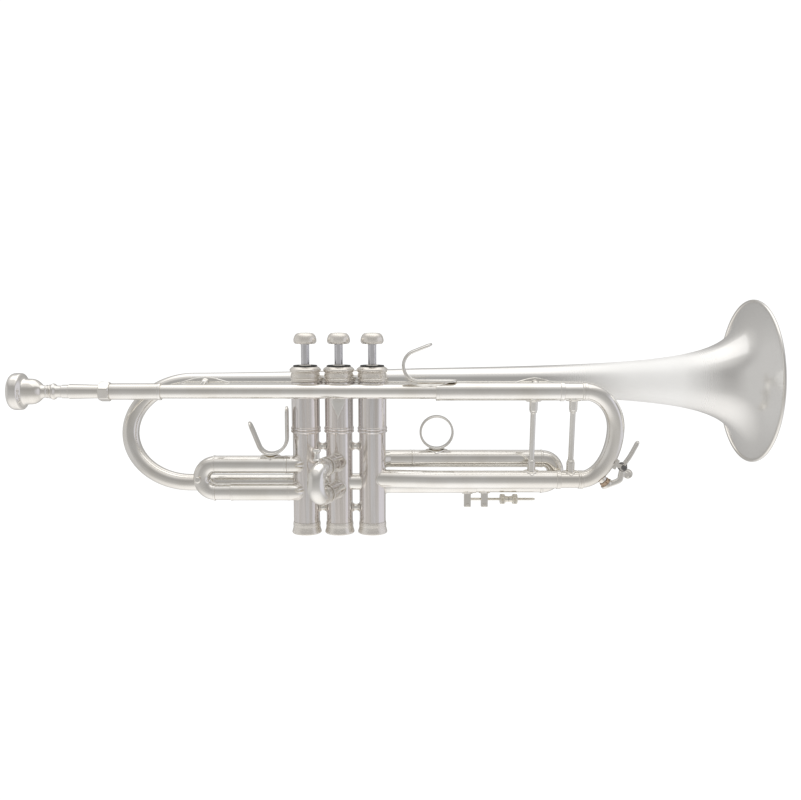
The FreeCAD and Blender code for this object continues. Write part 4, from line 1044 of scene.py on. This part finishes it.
def build_valve_spring(index):
    """Coil between guide and piston head."""
    node, joint = f"valve_spring_{index}", f"valve_{index}_press"
    start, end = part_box(node)
    coil_r = (end.x - start.x) / 2 - SPRING_WIRE_R
    foot, height = start.z + SPRING_WIRE_R, end.z - start.z - 2 * SPRING_WIRE_R
    per_turn = 32
    count = int(SPRING_TURNS * per_turn)
    path = []
    for k in range(count + 1):
        angle = 2 * math.pi * k / per_turn
        spot = Vector((coil_r * math.cos(angle), coil_r * math.sin(angle), foot + height * k / count))
        path.append(valve_base(index) + spot)
    mesh = Mesh()
    mesh.sweep(path, SPRING_WIRE_R, 12)
    coil = finish_piece(mesh, f"spring_{index}", BODY, "spring_steel", [node])
    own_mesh(coil)


def build_bridges():
    """Waisted bars between neighbouring casings."""
    start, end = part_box("casing_bridges")
    half = (VALVE_X[1] - VALVE_X[0]) / 2
    reach = (half - CASING_R) / MM + 0.6
    waist = [(1.5, 2.7), (2.3, 3.5), (reach, 4.3), (reach, 0)]
    outline = [(-x, r) for x, r in reversed(waist)] + [(0, 2.4)] + waist
    mesh = Mesh()
    for left in VALVE_X[:2]:
        for z in (end.z - BRIDGE_R, start.z + BRIDGE_R):
            mesh.lathe(turned(outline, 0.6), Vector((left + half, 0, z)), X_AXIS, 56)
    finish_piece(mesh, "bridge_set", BODY, "fitting_silver", ["casing_bridges"])


def build_knuckles():
    """Short tubes between neighbouring casings, each end fitted to its casing and beaded."""
    z = centre("valve_knuckles").z
    steps = 64
    mesh = Mesh()
    for left, right in zip(VALVE_X, VALVE_X[1:]):
        rows = []
        for x, sign in ((left, 1), (right, -1)):
            row = []
            for j in range(steps):
                spot = Vector(((left + right) / 2, 0, z))
                angle = 2 * math.pi * j / steps
                spot += Vector((0, KNUCKLE_R * math.cos(angle), KNUCKLE_R * math.sin(angle)))
                far = spot + X_AXIS * sign * 20 * MM
                row.append(onto_casing(far, X_AXIS * -sign, x, CASING_R - 0.15 * MM))
            rows.append(row)
        mesh.grid(rows)
        for row in rows:
            mesh.sweep(row, 0.45 * MM, 8, closed=True)
    finish_piece(mesh, "knuckle_pair", BODY, "tube_silver", ["valve_knuckles"])


# --- valve slides --------------------------------------------------------------------------------

def u_bow(mesh, top, bottom, outward, band):
    """A half-circle bow with softened bands at its ends."""
    middle = (top + bottom) / 2
    radius = (top - bottom).length / 2
    up = (top - bottom).normalized()
    path = [middle + up * (radius * math.cos(a)) + outward * (radius * math.sin(a))
            for a in (math.pi * k / 40 for k in range(41))]
    mesh.sweep(path, BOW_R, 48)
    for point in (top, bottom):
        ring(mesh, point - outward * band, point, RING_R, BORE_R, 0.25 * MM)


def first_port_path(start_x, place):
    """From a slide tube's end to the first casing, turning in towards it."""
    corner = at(VALVE_X[0] - PORT_SHIFT, place)
    path = rounded_route([at(start_x, place), corner, corner + Y_AXIS * PORT_TURN], ELBOW_R, 24)
    return [p for p in path if p.y < place.y + PORT_REACH]


def build_first_slide():
    start = low("first_slide_fixed_tubes")
    stub = VALVE_X[0] - FIRST_STUB
    mesh = Mesh()
    port_tube(mesh, first_port_path(start.x + 1 * MM, FIRST_LOW), SLEEVE_R, VALVE_X[0])
    port_tube(mesh, first_port_path(stub, FIRST_TOP), SLEEVE_R, VALVE_X[0])
    ring(mesh, at(start.x, FIRST_TOP), at(stub, FIRST_TOP), LEG_R, BORE_R)
    for place in (FIRST_TOP, FIRST_LOW):
        ring(mesh, at(stub, place), at(stub + 1.4 * MM, place), RING_R, BORE_R, 0.25 * MM)
    ring(mesh, at(start.x, FIRST_LOW), at(start.x + 1.8 * MM, FIRST_LOW), RING_R, LEG_R, 0.25 * MM)
    finish_piece(mesh, "first_slide_ports", BODY, "tube_silver", ["first_slide_fixed_tubes"])

    bow_x = high("first_slide_bow").x
    mesh = Mesh()
    u_bow(mesh, at(bow_x, FIRST_TOP), at(bow_x, FIRST_LOW), -X_AXIS, -1.4 * MM)
    finish_piece(mesh, "first_slide_crook", "first_slide", "tube_silver", ["first_slide_bow"])

    leg_low, leg_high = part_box("first_slide_legs")
    mesh = Mesh()
    sleeve(mesh, at(leg_low.x, FIRST_TOP), at(stub - 0.4 * MM, FIRST_TOP), RING_R, 1.6 * MM)
    ring(mesh, at(leg_low.x, FIRST_LOW), at(leg_high.x, FIRST_LOW), LEG_R, BORE_R)
    finish_piece(mesh, "first_slide_tubes", "first_slide", "tube_silver", ["first_slide_legs"])

    knob = centre("first_slide_knob")
    outline = [(5.6, 0), (5.6, 1.7), (6.3, 1.35), (7.0, 1.25), (7.4, 2.1), (8.2, 2.45), (8.9, 2.25),
               (9.4, 1.5),
               (9.5, 0)]
    turned_piece("first_slide_pull_knob", "first_slide", "fitting_silver", "first_slide_knob", outline, 0.4,
                 Vector((knob.x, FIRST_TOP.y, knob.z)), -Y_AXIS, 56)


SECOND_OUT = Vector(JOINTS["second_slide_pull"]["axis"])
SECOND_FOOT_X = VALVE_X[1] + 1.5 * MM


def second_point(distance, z):
    """A point out along the second slide's line."""
    return Vector((SECOND_FOOT_X, 0, z)) + SECOND_OUT * distance


def build_second_slide():
    start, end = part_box("second_slide_sleeves")
    heights = (end.z - FERRULE_R, start.z + FERRULE_R)
    mesh = Mesh()
    for z in heights:
        foot, tip = second_point(SECOND_PORT_START, z), second_point(SECOND_PORT_END, z)
        port_tube(mesh, [tip, foot.lerp(tip, 0.5), foot], SLEEVE_R, VALVE_X[1])
        ring(mesh, second_point(SECOND_PORT_END - 3 * MM, z), tip, FERRULE_R, LEG_R, 0.3 * MM)
        ring(mesh, second_point(16.5 * MM, z), second_point(17.6 * MM, z), RING_R, LEG_R, 0.2 * MM)
    finish_piece(mesh, "second_slide_ports", BODY, "tube_silver", ["second_slide_sleeves"])

    mesh = Mesh()
    far = SECOND_BOW_START
    u_bow(mesh, second_point(far, heights[0]), second_point(far, heights[1]), SECOND_OUT, 5 * MM)
    for z in heights:
        ring(mesh, second_point(12 * MM, z), second_point(far - 3 * MM, z), LEG_R, BORE_R)
        band = second_point(far - 2.6 * MM, z)
        ring(mesh, band, band + SECOND_OUT * 0.8 * MM, RING_R + 0.25 * MM, BORE_R, 0.2 * MM)
    finish_piece(mesh, "second_slide_crook", "second_slide", "tube_silver", ["second_slide_bow"])

    knob = centre("second_slide_knob")
    outline = [(5.6, 0), (5.6, 3.0), (6.2, 2.95), (7.4, 2.0), (9.2, 1.75), (11.0, 1.8), (11.8, 2.6),
               (12.6, 3.05),
               (13.6, 3.0), (14.3, 2.4), (14.45, 0)]
    turned_piece("second_slide_pull_knob", "second_slide", "fitting_silver", "second_slide_knob", outline,
                 0.5,
                 Vector((knob.x, knob.y, heights[0])), Z_AXIS, 56)


def third_port_path(place, end_x):
    inner = Vector((VALVE_X[2] + 8 * MM, place.y * 0.6, place.z))
    corner = at(VALVE_X[2] + 12 * MM, place)
    return rounded_route([at(end_x, place), corner, inner], THIRD_PORT_BEND_R, 10)


def build_third_slide():
    legs = low("third_slide_legs").x
    stub = legs + 6.4 * MM
    mesh = Mesh()
    port_tube(mesh, third_port_path(THIRD_TOP, stub), SLEEVE_R, VALVE_X[2])
    port_tube(mesh, third_port_path(THIRD_LOW, THIRD_SLEEVE_END_X), SLEEVE_R, VALVE_X[2])
    ring(mesh, at(stub, THIRD_TOP), at(high("third_slide_fixed_tubes").x, THIRD_TOP), LEG_R, BORE_R)
    ring(mesh, at(stub - 1.6 * MM, THIRD_TOP), at(stub, THIRD_TOP), RING_R, BORE_R, 0.25 * MM)
    lip = at(THIRD_SLEEVE_END_X, THIRD_LOW)
    ring(mesh, lip - X_AXIS * 1.8 * MM, lip, RING_R, LEG_R, 0.25 * MM)
    finish_piece(mesh, "third_slide_ports", BODY, "tube_silver", ["third_slide_fixed_tubes"])

    band = 1.4 * MM
    bow_x = low("third_slide_bow").x + band
    mesh = Mesh()
    u_bow(mesh, at(bow_x, THIRD_TOP), at(bow_x, THIRD_LOW), X_AXIS, band)
    finish_piece(mesh, "third_slide_crook", "third_slide", "tube_silver", ["third_slide_bow"])

    mesh = Mesh()
    sleeve(mesh, at(bow_x - band, THIRD_TOP), at(stub + 0.4 * MM, THIRD_TOP), RING_R - 0.05 * MM, 1.6 * MM)
    ring(mesh, at(legs, THIRD_LOW), at(bow_x - band, THIRD_LOW), LEG_R, BORE_R)
    finish_piece(mesh, "third_slide_tubes", "third_slide", "tube_silver", ["third_slide_legs"])


# --- straps, ring and stop -----------------------------------------------------------------------

def build_finger_hook():
    """Little finger hook: flat arm, round bend and rising tip on a long foot."""
    start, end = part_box("finger_hook")
    bend_x = start.x + HOOK_BEND_R + 0.75 * MM
    middle = Vector((bend_x, LEAD.y, LEAD.z + HOOK_RISE))
    seat = middle - Z_AXIS * HOOK_BEND_R
    bend = arc(middle, seat, math.radians(HOOK_BEND_DEG), Y_AXIS, 40)
    heading = (bend[-1] - bend[-2]).normalized()
    tip = [bend[-1] + heading * (HOOK_TIP_LEN * k / 10) for k in range(1, 11)]
    arm = [Vector((end.x - (end.x - bend_x) * k / 24, LEAD.y, seat.z)) for k in range(24)]
    mesh = Mesh()
    strap(mesh, arm + bend + tip, Y_AXIS, HOOK_WIDTH, STRAP_THICK, tip_start=True, tip_end=True)
    for step in (4 * MM, 13 * MM):
        pillow_foot(mesh, lead(bend_x + step), X_AXIS, Z_AXIS, 21 * MM, 5.42 * MM, 4.6 * MM, 2.2 * MM, 2.2)
    finish_piece(mesh, "little_finger_hook", BODY, "fitting_silver", ["finger_hook"])


def build_thumb_saddle():
    """U-shaped thumb rest on a short post with a diamond foot."""
    x = high("thumb_saddle").x - 0.75 * MM - SADDLE_RIGHT_R
    seat = Vector((x, FIRST_TOP.y, FIRST_TOP.z + SLEEVE_R + 1.6 * MM))
    left = arc(seat + Z_AXIS * SADDLE_LEFT_R, seat, math.radians(SADDLE_LEFT_DEG), Y_AXIS, 20)
    heading = (left[-1] - left[-2]).normalized()
    left_tip = [left[-1] + heading * (SADDLE_LEFT_LEN * k / 12) for k in range(12, 0, -1)]
    right = arc(seat + Z_AXIS * SADDLE_RIGHT_R, seat, math.radians(-90), Y_AXIS, 24)
    right_tip = [right[-1] + Z_AXIS * (SADDLE_RIGHT_LEN * k / 12) for k in range(1, 13)]
    mesh = Mesh()
    strap(mesh, left_tip + left[::-1] + right[1:] + right_tip, Y_AXIS, SADDLE_WIDTH, STRAP_THICK, True, True)
    base = at(x, FIRST_TOP)
    rod(mesh, base + Z_AXIS * SLEEVE_R * 0.9, seat, 2.9 * MM)
    pillow_foot(mesh, base, X_AXIS, Z_AXIS, 15 * MM, SLEEVE_R)
    finish_piece(mesh, "thumb_saddle_strap", "first_slide", "fitting_silver", ["thumb_saddle"])


def build_finger_ring():
    """Third-slide ring with rounded band, wedge and diamond foot."""
    start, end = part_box("finger_ring")
    top = at((start.x + end.x) / 2, THIRD_TOP)
    middle = Vector((top.x, top.y, end.z - FINGER_RING_R))
    path = [on_circle(middle, FINGER_BAND_R, 2 * math.pi * k / 96) for k in range(96)]
    mesh = Mesh()
    mesh.sweep(path, 1.0, 28, section=lambda angle, _: oval(angle, 4.0 * MM, 0.8 * MM, 0.5, 0.8), side=Y_AXIS,
               closed=True)
    wedge_top = end.z - 2 * FINGER_RING_R - THIRD_TOP.z + 0.4 * MM
    wedge = [top + Z_AXIS * z for z in (SLEEVE_R * 0.92, SLEEVE_R + 0.9 * MM, wedge_top)]
    halves = ((2.6, 4.2), (2.5, 4.0), (3.4, 6.0))
    mesh.sweep(wedge, 1.0, 32, section=lambda angle, i: oval(angle, halves[i][0] * MM, halves[i][1] * MM),
               side=Y_AXIS)
    pillow_foot(mesh, top, X_AXIS, Z_AXIS, 17 * MM, SLEEVE_R)
    finish_piece(mesh, "slide_finger_ring", "third_slide", "fitting_silver", ["finger_ring"])


def stop_post(name, node, body, tube_r):
    """Square post with rounded edges and a set screw, on a diamond foot."""
    start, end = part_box(node)
    axis = at((start.x + end.x) / 2, THIRD_LOW)
    heights = (THIRD_LOW.z - tube_r * 0.9, centre("stop_rod").z, start.z + 0.5 * MM, start.z)
    path = [Vector((axis.x, axis.y, z)) for z in heights]

    def block(angle, i):
        inset = 0.4 * MM if i == 3 else 0
        return oval(angle, 2.6 * MM - inset, 1.98 * MM - inset, 0.25, 0.25)

    mesh = Mesh()
    mesh.sweep(path, 1.0, 48, section=block, side=X_AXIS)
    front = Vector((axis.x, axis.y - 1.7 * MM, start.z + 2.0 * MM))
    screw = [(0, 0), (0, 1.25), (0.9, 1.15), (1.0, 0.8), (1.0, 0.35), (0.5, 0.3), (0.5, 0)]
    mesh.lathe(turned(screw, 0.15), front, -Y_AXIS, 32)
    pillow_foot(mesh, axis, X_AXIS, -Z_AXIS, 9 * MM, tube_r, 4.4 * MM)
    finish_piece(mesh, name, body, "fitting_silver", [node])


def build_stop_rod():
    """Threaded rod and two knurled nuts locked against each other."""
    start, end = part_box("stop_rod")
    axis = centre("stop_rod")
    length = end.x - start.x
    outline = [(0, 0), (0, 1.05 * MM), (THREAD_FROM, 1.05 * MM)]
    for k in range(int((length - THREAD_FROM - 1.5 * MM) / THREAD_PITCH)):
        place = THREAD_FROM + k * THREAD_PITCH
        outline += [(place + 0.25 * THREAD_PITCH, 0.86 * MM), (place + 0.75 * THREAD_PITCH, 1.05 * MM)]
    outline += [(length - 1.2 * MM, 0.95 * MM), (length - 0.3 * MM, 0.85 * MM), (length, 0.5 * MM),
                (length, 0)]
    mesh = Mesh()
    mesh.lathe(outline, at(start.x, axis), X_AXIS, 32)
    finish_piece(mesh, "slide_stop_rod", BODY, "stop_brass", ["stop_rod"])
    nut = [(0, 1.05), (0, 3.3)] + [(0.4 + 0.5 * k, 3.8) for k in range(6)]
    nut += [(3.3, 3.8), (3.7, 3.3), (3.9, 2.5), (6.5, 2.15), (6.5, 1.05)]
    mesh = Mesh()
    for x, direction in ((low("stop_nuts").x, X_AXIS), (high("stop_nuts").x, -X_AXIS)):
        mesh.lathe(turned(nut, 0.2), at(x, axis), direction, 120, knurl=(0.6 * MM, 3.1 * MM, 30, 0.35 * MM))
    finish_piece(mesh, "slide_stop_nuts", BODY, "stop_brass", ["stop_nuts"], sharp_deg=50)


def cross_brace(mesh, x, tube_r):
    """Turned bar from the leadpipe side to the bell, with a diamond foot at each end."""
    near, far = lead(x), at(x, BELL)
    across = (far - near).normalized()
    bell_r = bell_radius(x)
    foot, tip = tube_r - 0.1 * MM, (far - near).length - bell_r + 0.2 * MM
    steps = [(0, 0), (0, 3.6), (1.0, 3.1), (4.2, 3.1), (5.0, 2.3)]
    outline = [(foot + d * MM, r * MM) for d, r in steps]
    outline += [(tip - d * MM, r * MM) for d, r in reversed(steps)]
    mesh.lathe(soften(outline, 0.5 * MM), near, across, 48)
    pillow_foot(mesh, near, X_AXIS, across, 16 * MM, tube_r)
    pillow_foot(mesh, far, X_AXIS, -across, 40 * MM, bell_r - 0.05 * MM, 5.2 * MM, 0.7 * MM, 1.3)


def build_tube_braces():
    """The two bars to the bell, and the flange that joins the middle casing to the leadpipe."""
    mesh = Mesh()
    cross_brace(mesh, FRONT_BRACE_X, SLEEVE_R)
    cross_brace(mesh, REAR_BRACE_X, 5.2 * MM)
    flange_at = Vector((0, 0, LEAD.z - 8.0 * MM))
    pillow_foot(mesh, flange_at, Z_AXIS, -Y_AXIS, 26 * MM, BALUSTER_R, 5.6 * MM, 1.0 * MM)
    block = [Vector((0, y * MM, LEAD.z - 5.0 * MM)) for y in (-14.5, -12.6, -10.2)]
    halves = (2.4, 2.8, 3.4)
    mesh.sweep(block, 1.0, 32, section=lambda angle, i: oval(angle, halves[i] * MM, 2.2 * MM), side=X_AXIS)
    finish_piece(mesh, "bell_brace_pair", BODY, "fitting_silver", ["tube_braces"])


# --- mouthpiece ----------------------------------------------------------------------------------

def round_line(points, per):
    """A smooth curve through flat (distance, radius) points."""
    return [(p.x, p.y) for p in smooth_curve([(*point, 0) for point in points], per)]


def build_mouthpiece():
    """Rim, bowl, beads and shank turned in one, with cup, throat and backbore."""
    start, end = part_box("mouthpiece")
    length = (end.x - start.x) / MM
    rim = round_line([(2.0, 8.2), (0.8, 8.75), (0.05, 9.9), (0.25, 11.1), (0.9, 12.3), (1.9, 13.0),
                      (3.4, 13.35),
                      (5.2, 13.4), (7.0, 13.38)], 6)
    bowl = round_line([(8.9, 12.0), (9.5, 10.9), (10.6, 9.65), (12.9, 9.35), (16.2, 9.1), (18.6, 8.2),
                       (20.8, 6.6),
                       (22.4, 5.1), (23.6, 4.5), (25.0, 4.35)], 6)
    ridges = [(25.3, 4.75), (26.0, 4.85), (26.4, 4.4), (27.0, 4.4), (27.4, 4.95), (28.1, 5.05), (28.5, 4.6)]
    shank = [(29.0, 5.2), (29.8, 5.75), (30.6, 5.9), (31.5, 5.6), (32.3, 4.9), (33.1, 4.3), (36.5, 4.35),
             (36.9, 4.9), (41.9, 4.95), (42.2, 5.45), (59.6, 4.98), (length, 4.6)]
    bore = [(length, 4.1), (41.2, 3.2), (22.2, 1.95)]
    cup = round_line([(16.2, 1.85), (13.2, 2.0), (11.4, 3.0), (8.7, 5.2), (5.6, 7.2), (3.0, 8.0)], 8)
    outline = rim + [(8.0, 13.2), (8.4, 12.8)] + bowl + ridges + shank + bore + cup
    mesh = Mesh()
    mesh.lathe(turned(outline, 0.12), lead(start.x), X_AXIS, 144)
    finish_piece(mesh, "mouthpiece_body", "mouthpiece", "mouthpiece_silver", ["mouthpiece"], sharp_deg=50)


def build_pieces():
    build_bell()
    build_bell_bow()
    build_leadpipe()
    build_receiver()
    build_tuning_sleeves()
    build_tuning_elbow()
    build_tuning_bow()
    build_tuning_legs()
    upright_brace("front_pillar", "body_brace", BODY, SLEEVE_R)
    upright_brace("slide_pillar", "slide_brace", "tuning_slide", LEG_R)
    build_water_key()
    build_water_key_screw()
    for index in VALVES:
        build_casing(index)
        build_button(index)
        build_valve_spring(index)
    build_caps()
    build_bridges()
    build_knuckles()
    build_first_slide()
    build_second_slide()
    build_third_slide()
    build_finger_hook()
    build_thumb_saddle()
    build_finger_ring()
    stop_post("fixed_stop_post", "stop_post_fixed", BODY, SLEEVE_R)
    stop_post("moving_stop_post", "stop_post_moving", "third_slide", LEG_R)
    build_stop_rod()
    build_tube_braces()
    build_mouthpiece()


# --- stage -----------------------------------------------------------------------------------

def softbox(name, place, target, size, energy):
    light = bpy.data.lights.new(name, "AREA")
    light.shape = "RECTANGLE"
    light.size, light.size_y = size
    light.energy = energy
    lamp = bpy.data.objects.new(name, light)
    lamp.location = place
    lamp.rotation_mode = "QUATERNION"
    lamp.rotation_quaternion = (Vector(target) - Vector(place)).to_track_quat("-Z", "Y")
    bpy.context.scene.collection.objects.link(lamp)


def light_levels(nodes, factor, stops):
    """Light levels by height, from straight down (-1) to straight up (1)."""
    ramp = nodes.tree.nodes.new("ShaderNodeValToRGB")
    nodes.link(factor, ramp.inputs["Fac"])
    elements = ramp.color_ramp.elements
    while len(elements) < len(stops):
        elements.new(0.5)
    for element, (place, level) in zip(elements, stops):
        element.position = (place + 1) / 2
        element.color = tuple(level * t for t in WARM_GREY) + (1,)
    return ramp.outputs["Color"]


FRONT_LEVELS = ((-1.0, 1.04), (-0.84, 0.94), (-0.66, 0.77), (-0.48, 0.58), (-0.24, 0.48), (0.0, 0.45),
                (0.34, 0.39), (0.58, 0.42), (0.79, 0.68), (0.94, 0.86), (1.0, 1.02))
REAR_LEVELS = ((-1.0, 1.04), (-0.92, 1.0), (-0.75, 0.78), (-0.5, 0.52), (0.0, 0.40), (0.5, 0.50),
               (0.78, 0.82),
               (0.92, 1.0), (1.0, 1.02))
WARM_GREY = (1.0, 0.98, 0.96)
RIGHT_WALL = (0.70, 0.695, 0.735)
LEFT_WALL = (0.60, 0.59, 0.58)
WHITE_GROUND = (1.08, 1.08, 1.08)


def build_world():
    """A white tent: bright above and below, soft grey in front, dark near the horizon behind."""
    world = bpy.data.worlds.new("studio")
    bpy.context.scene.world = world
    nodes = Nodes(world)
    towards = nodes.parts(nodes.tree.nodes.new("ShaderNodeTexCoord").outputs["Generated"])
    side, depth, height = towards["X"], towards["Y"], towards["Z"]
    share = nodes.spread(height, -1, 1)
    front = light_levels(nodes, share, FRONT_LEVELS)
    rear = light_levels(nodes, share, REAR_LEVELS)
    room = nodes.mix(nodes.spread(depth, -0.2, 0.3), front, rear)
    level = nodes.math("MULTIPLY", nodes.spread(height, -0.62, -0.38), nodes.spread(height, 0.62, 0.38))
    right = nodes.math("MULTIPLY", nodes.spread(side, 0.74, 0.88), level)
    left = nodes.math("MULTIPLY", nodes.spread(side, -0.6, -0.85), level)
    room = nodes.mix(left, nodes.mix(right, room, RIGHT_WALL), LEFT_WALL)
    rays = nodes.tree.nodes.new("ShaderNodeLightPath").outputs
    direct = nodes.math("MAXIMUM", rays["Is Camera Ray"], rays["Is Diffuse Ray"])
    nodes.link(nodes.mix(direct, room, WHITE_GROUND), nodes.tree.nodes["Background"].inputs["Color"])


def build_camera():
    data = bpy.data.cameras.new("camera")
    data.sensor_width = 36
    data.lens = CAMERA_LENS_MM
    camera = bpy.data.objects.new("camera", data)
    back = Vector((0, -math.cos(CAMERA_PITCH), math.sin(CAMERA_PITCH)))
    camera.location = CAMERA_AIM + back * CAMERA_DISTANCE
    camera.rotation_mode = "QUATERNION"
    camera.rotation_quaternion = (-back).to_track_quat("-Z", "Y")
    bpy.context.scene.collection.objects.link(camera)
    bpy.context.scene.camera = camera


def build_stage():
    build_world()
    softbox("top_softbox", (0.1, 0.2, 1.5), (0.05, 0.1, 0), (2.4, 1.6), 4)
    build_camera()
    bpy.context.scene.view_settings.view_transform = "Standard"


build_pieces()
paint_cad_nodes()
build_stage()
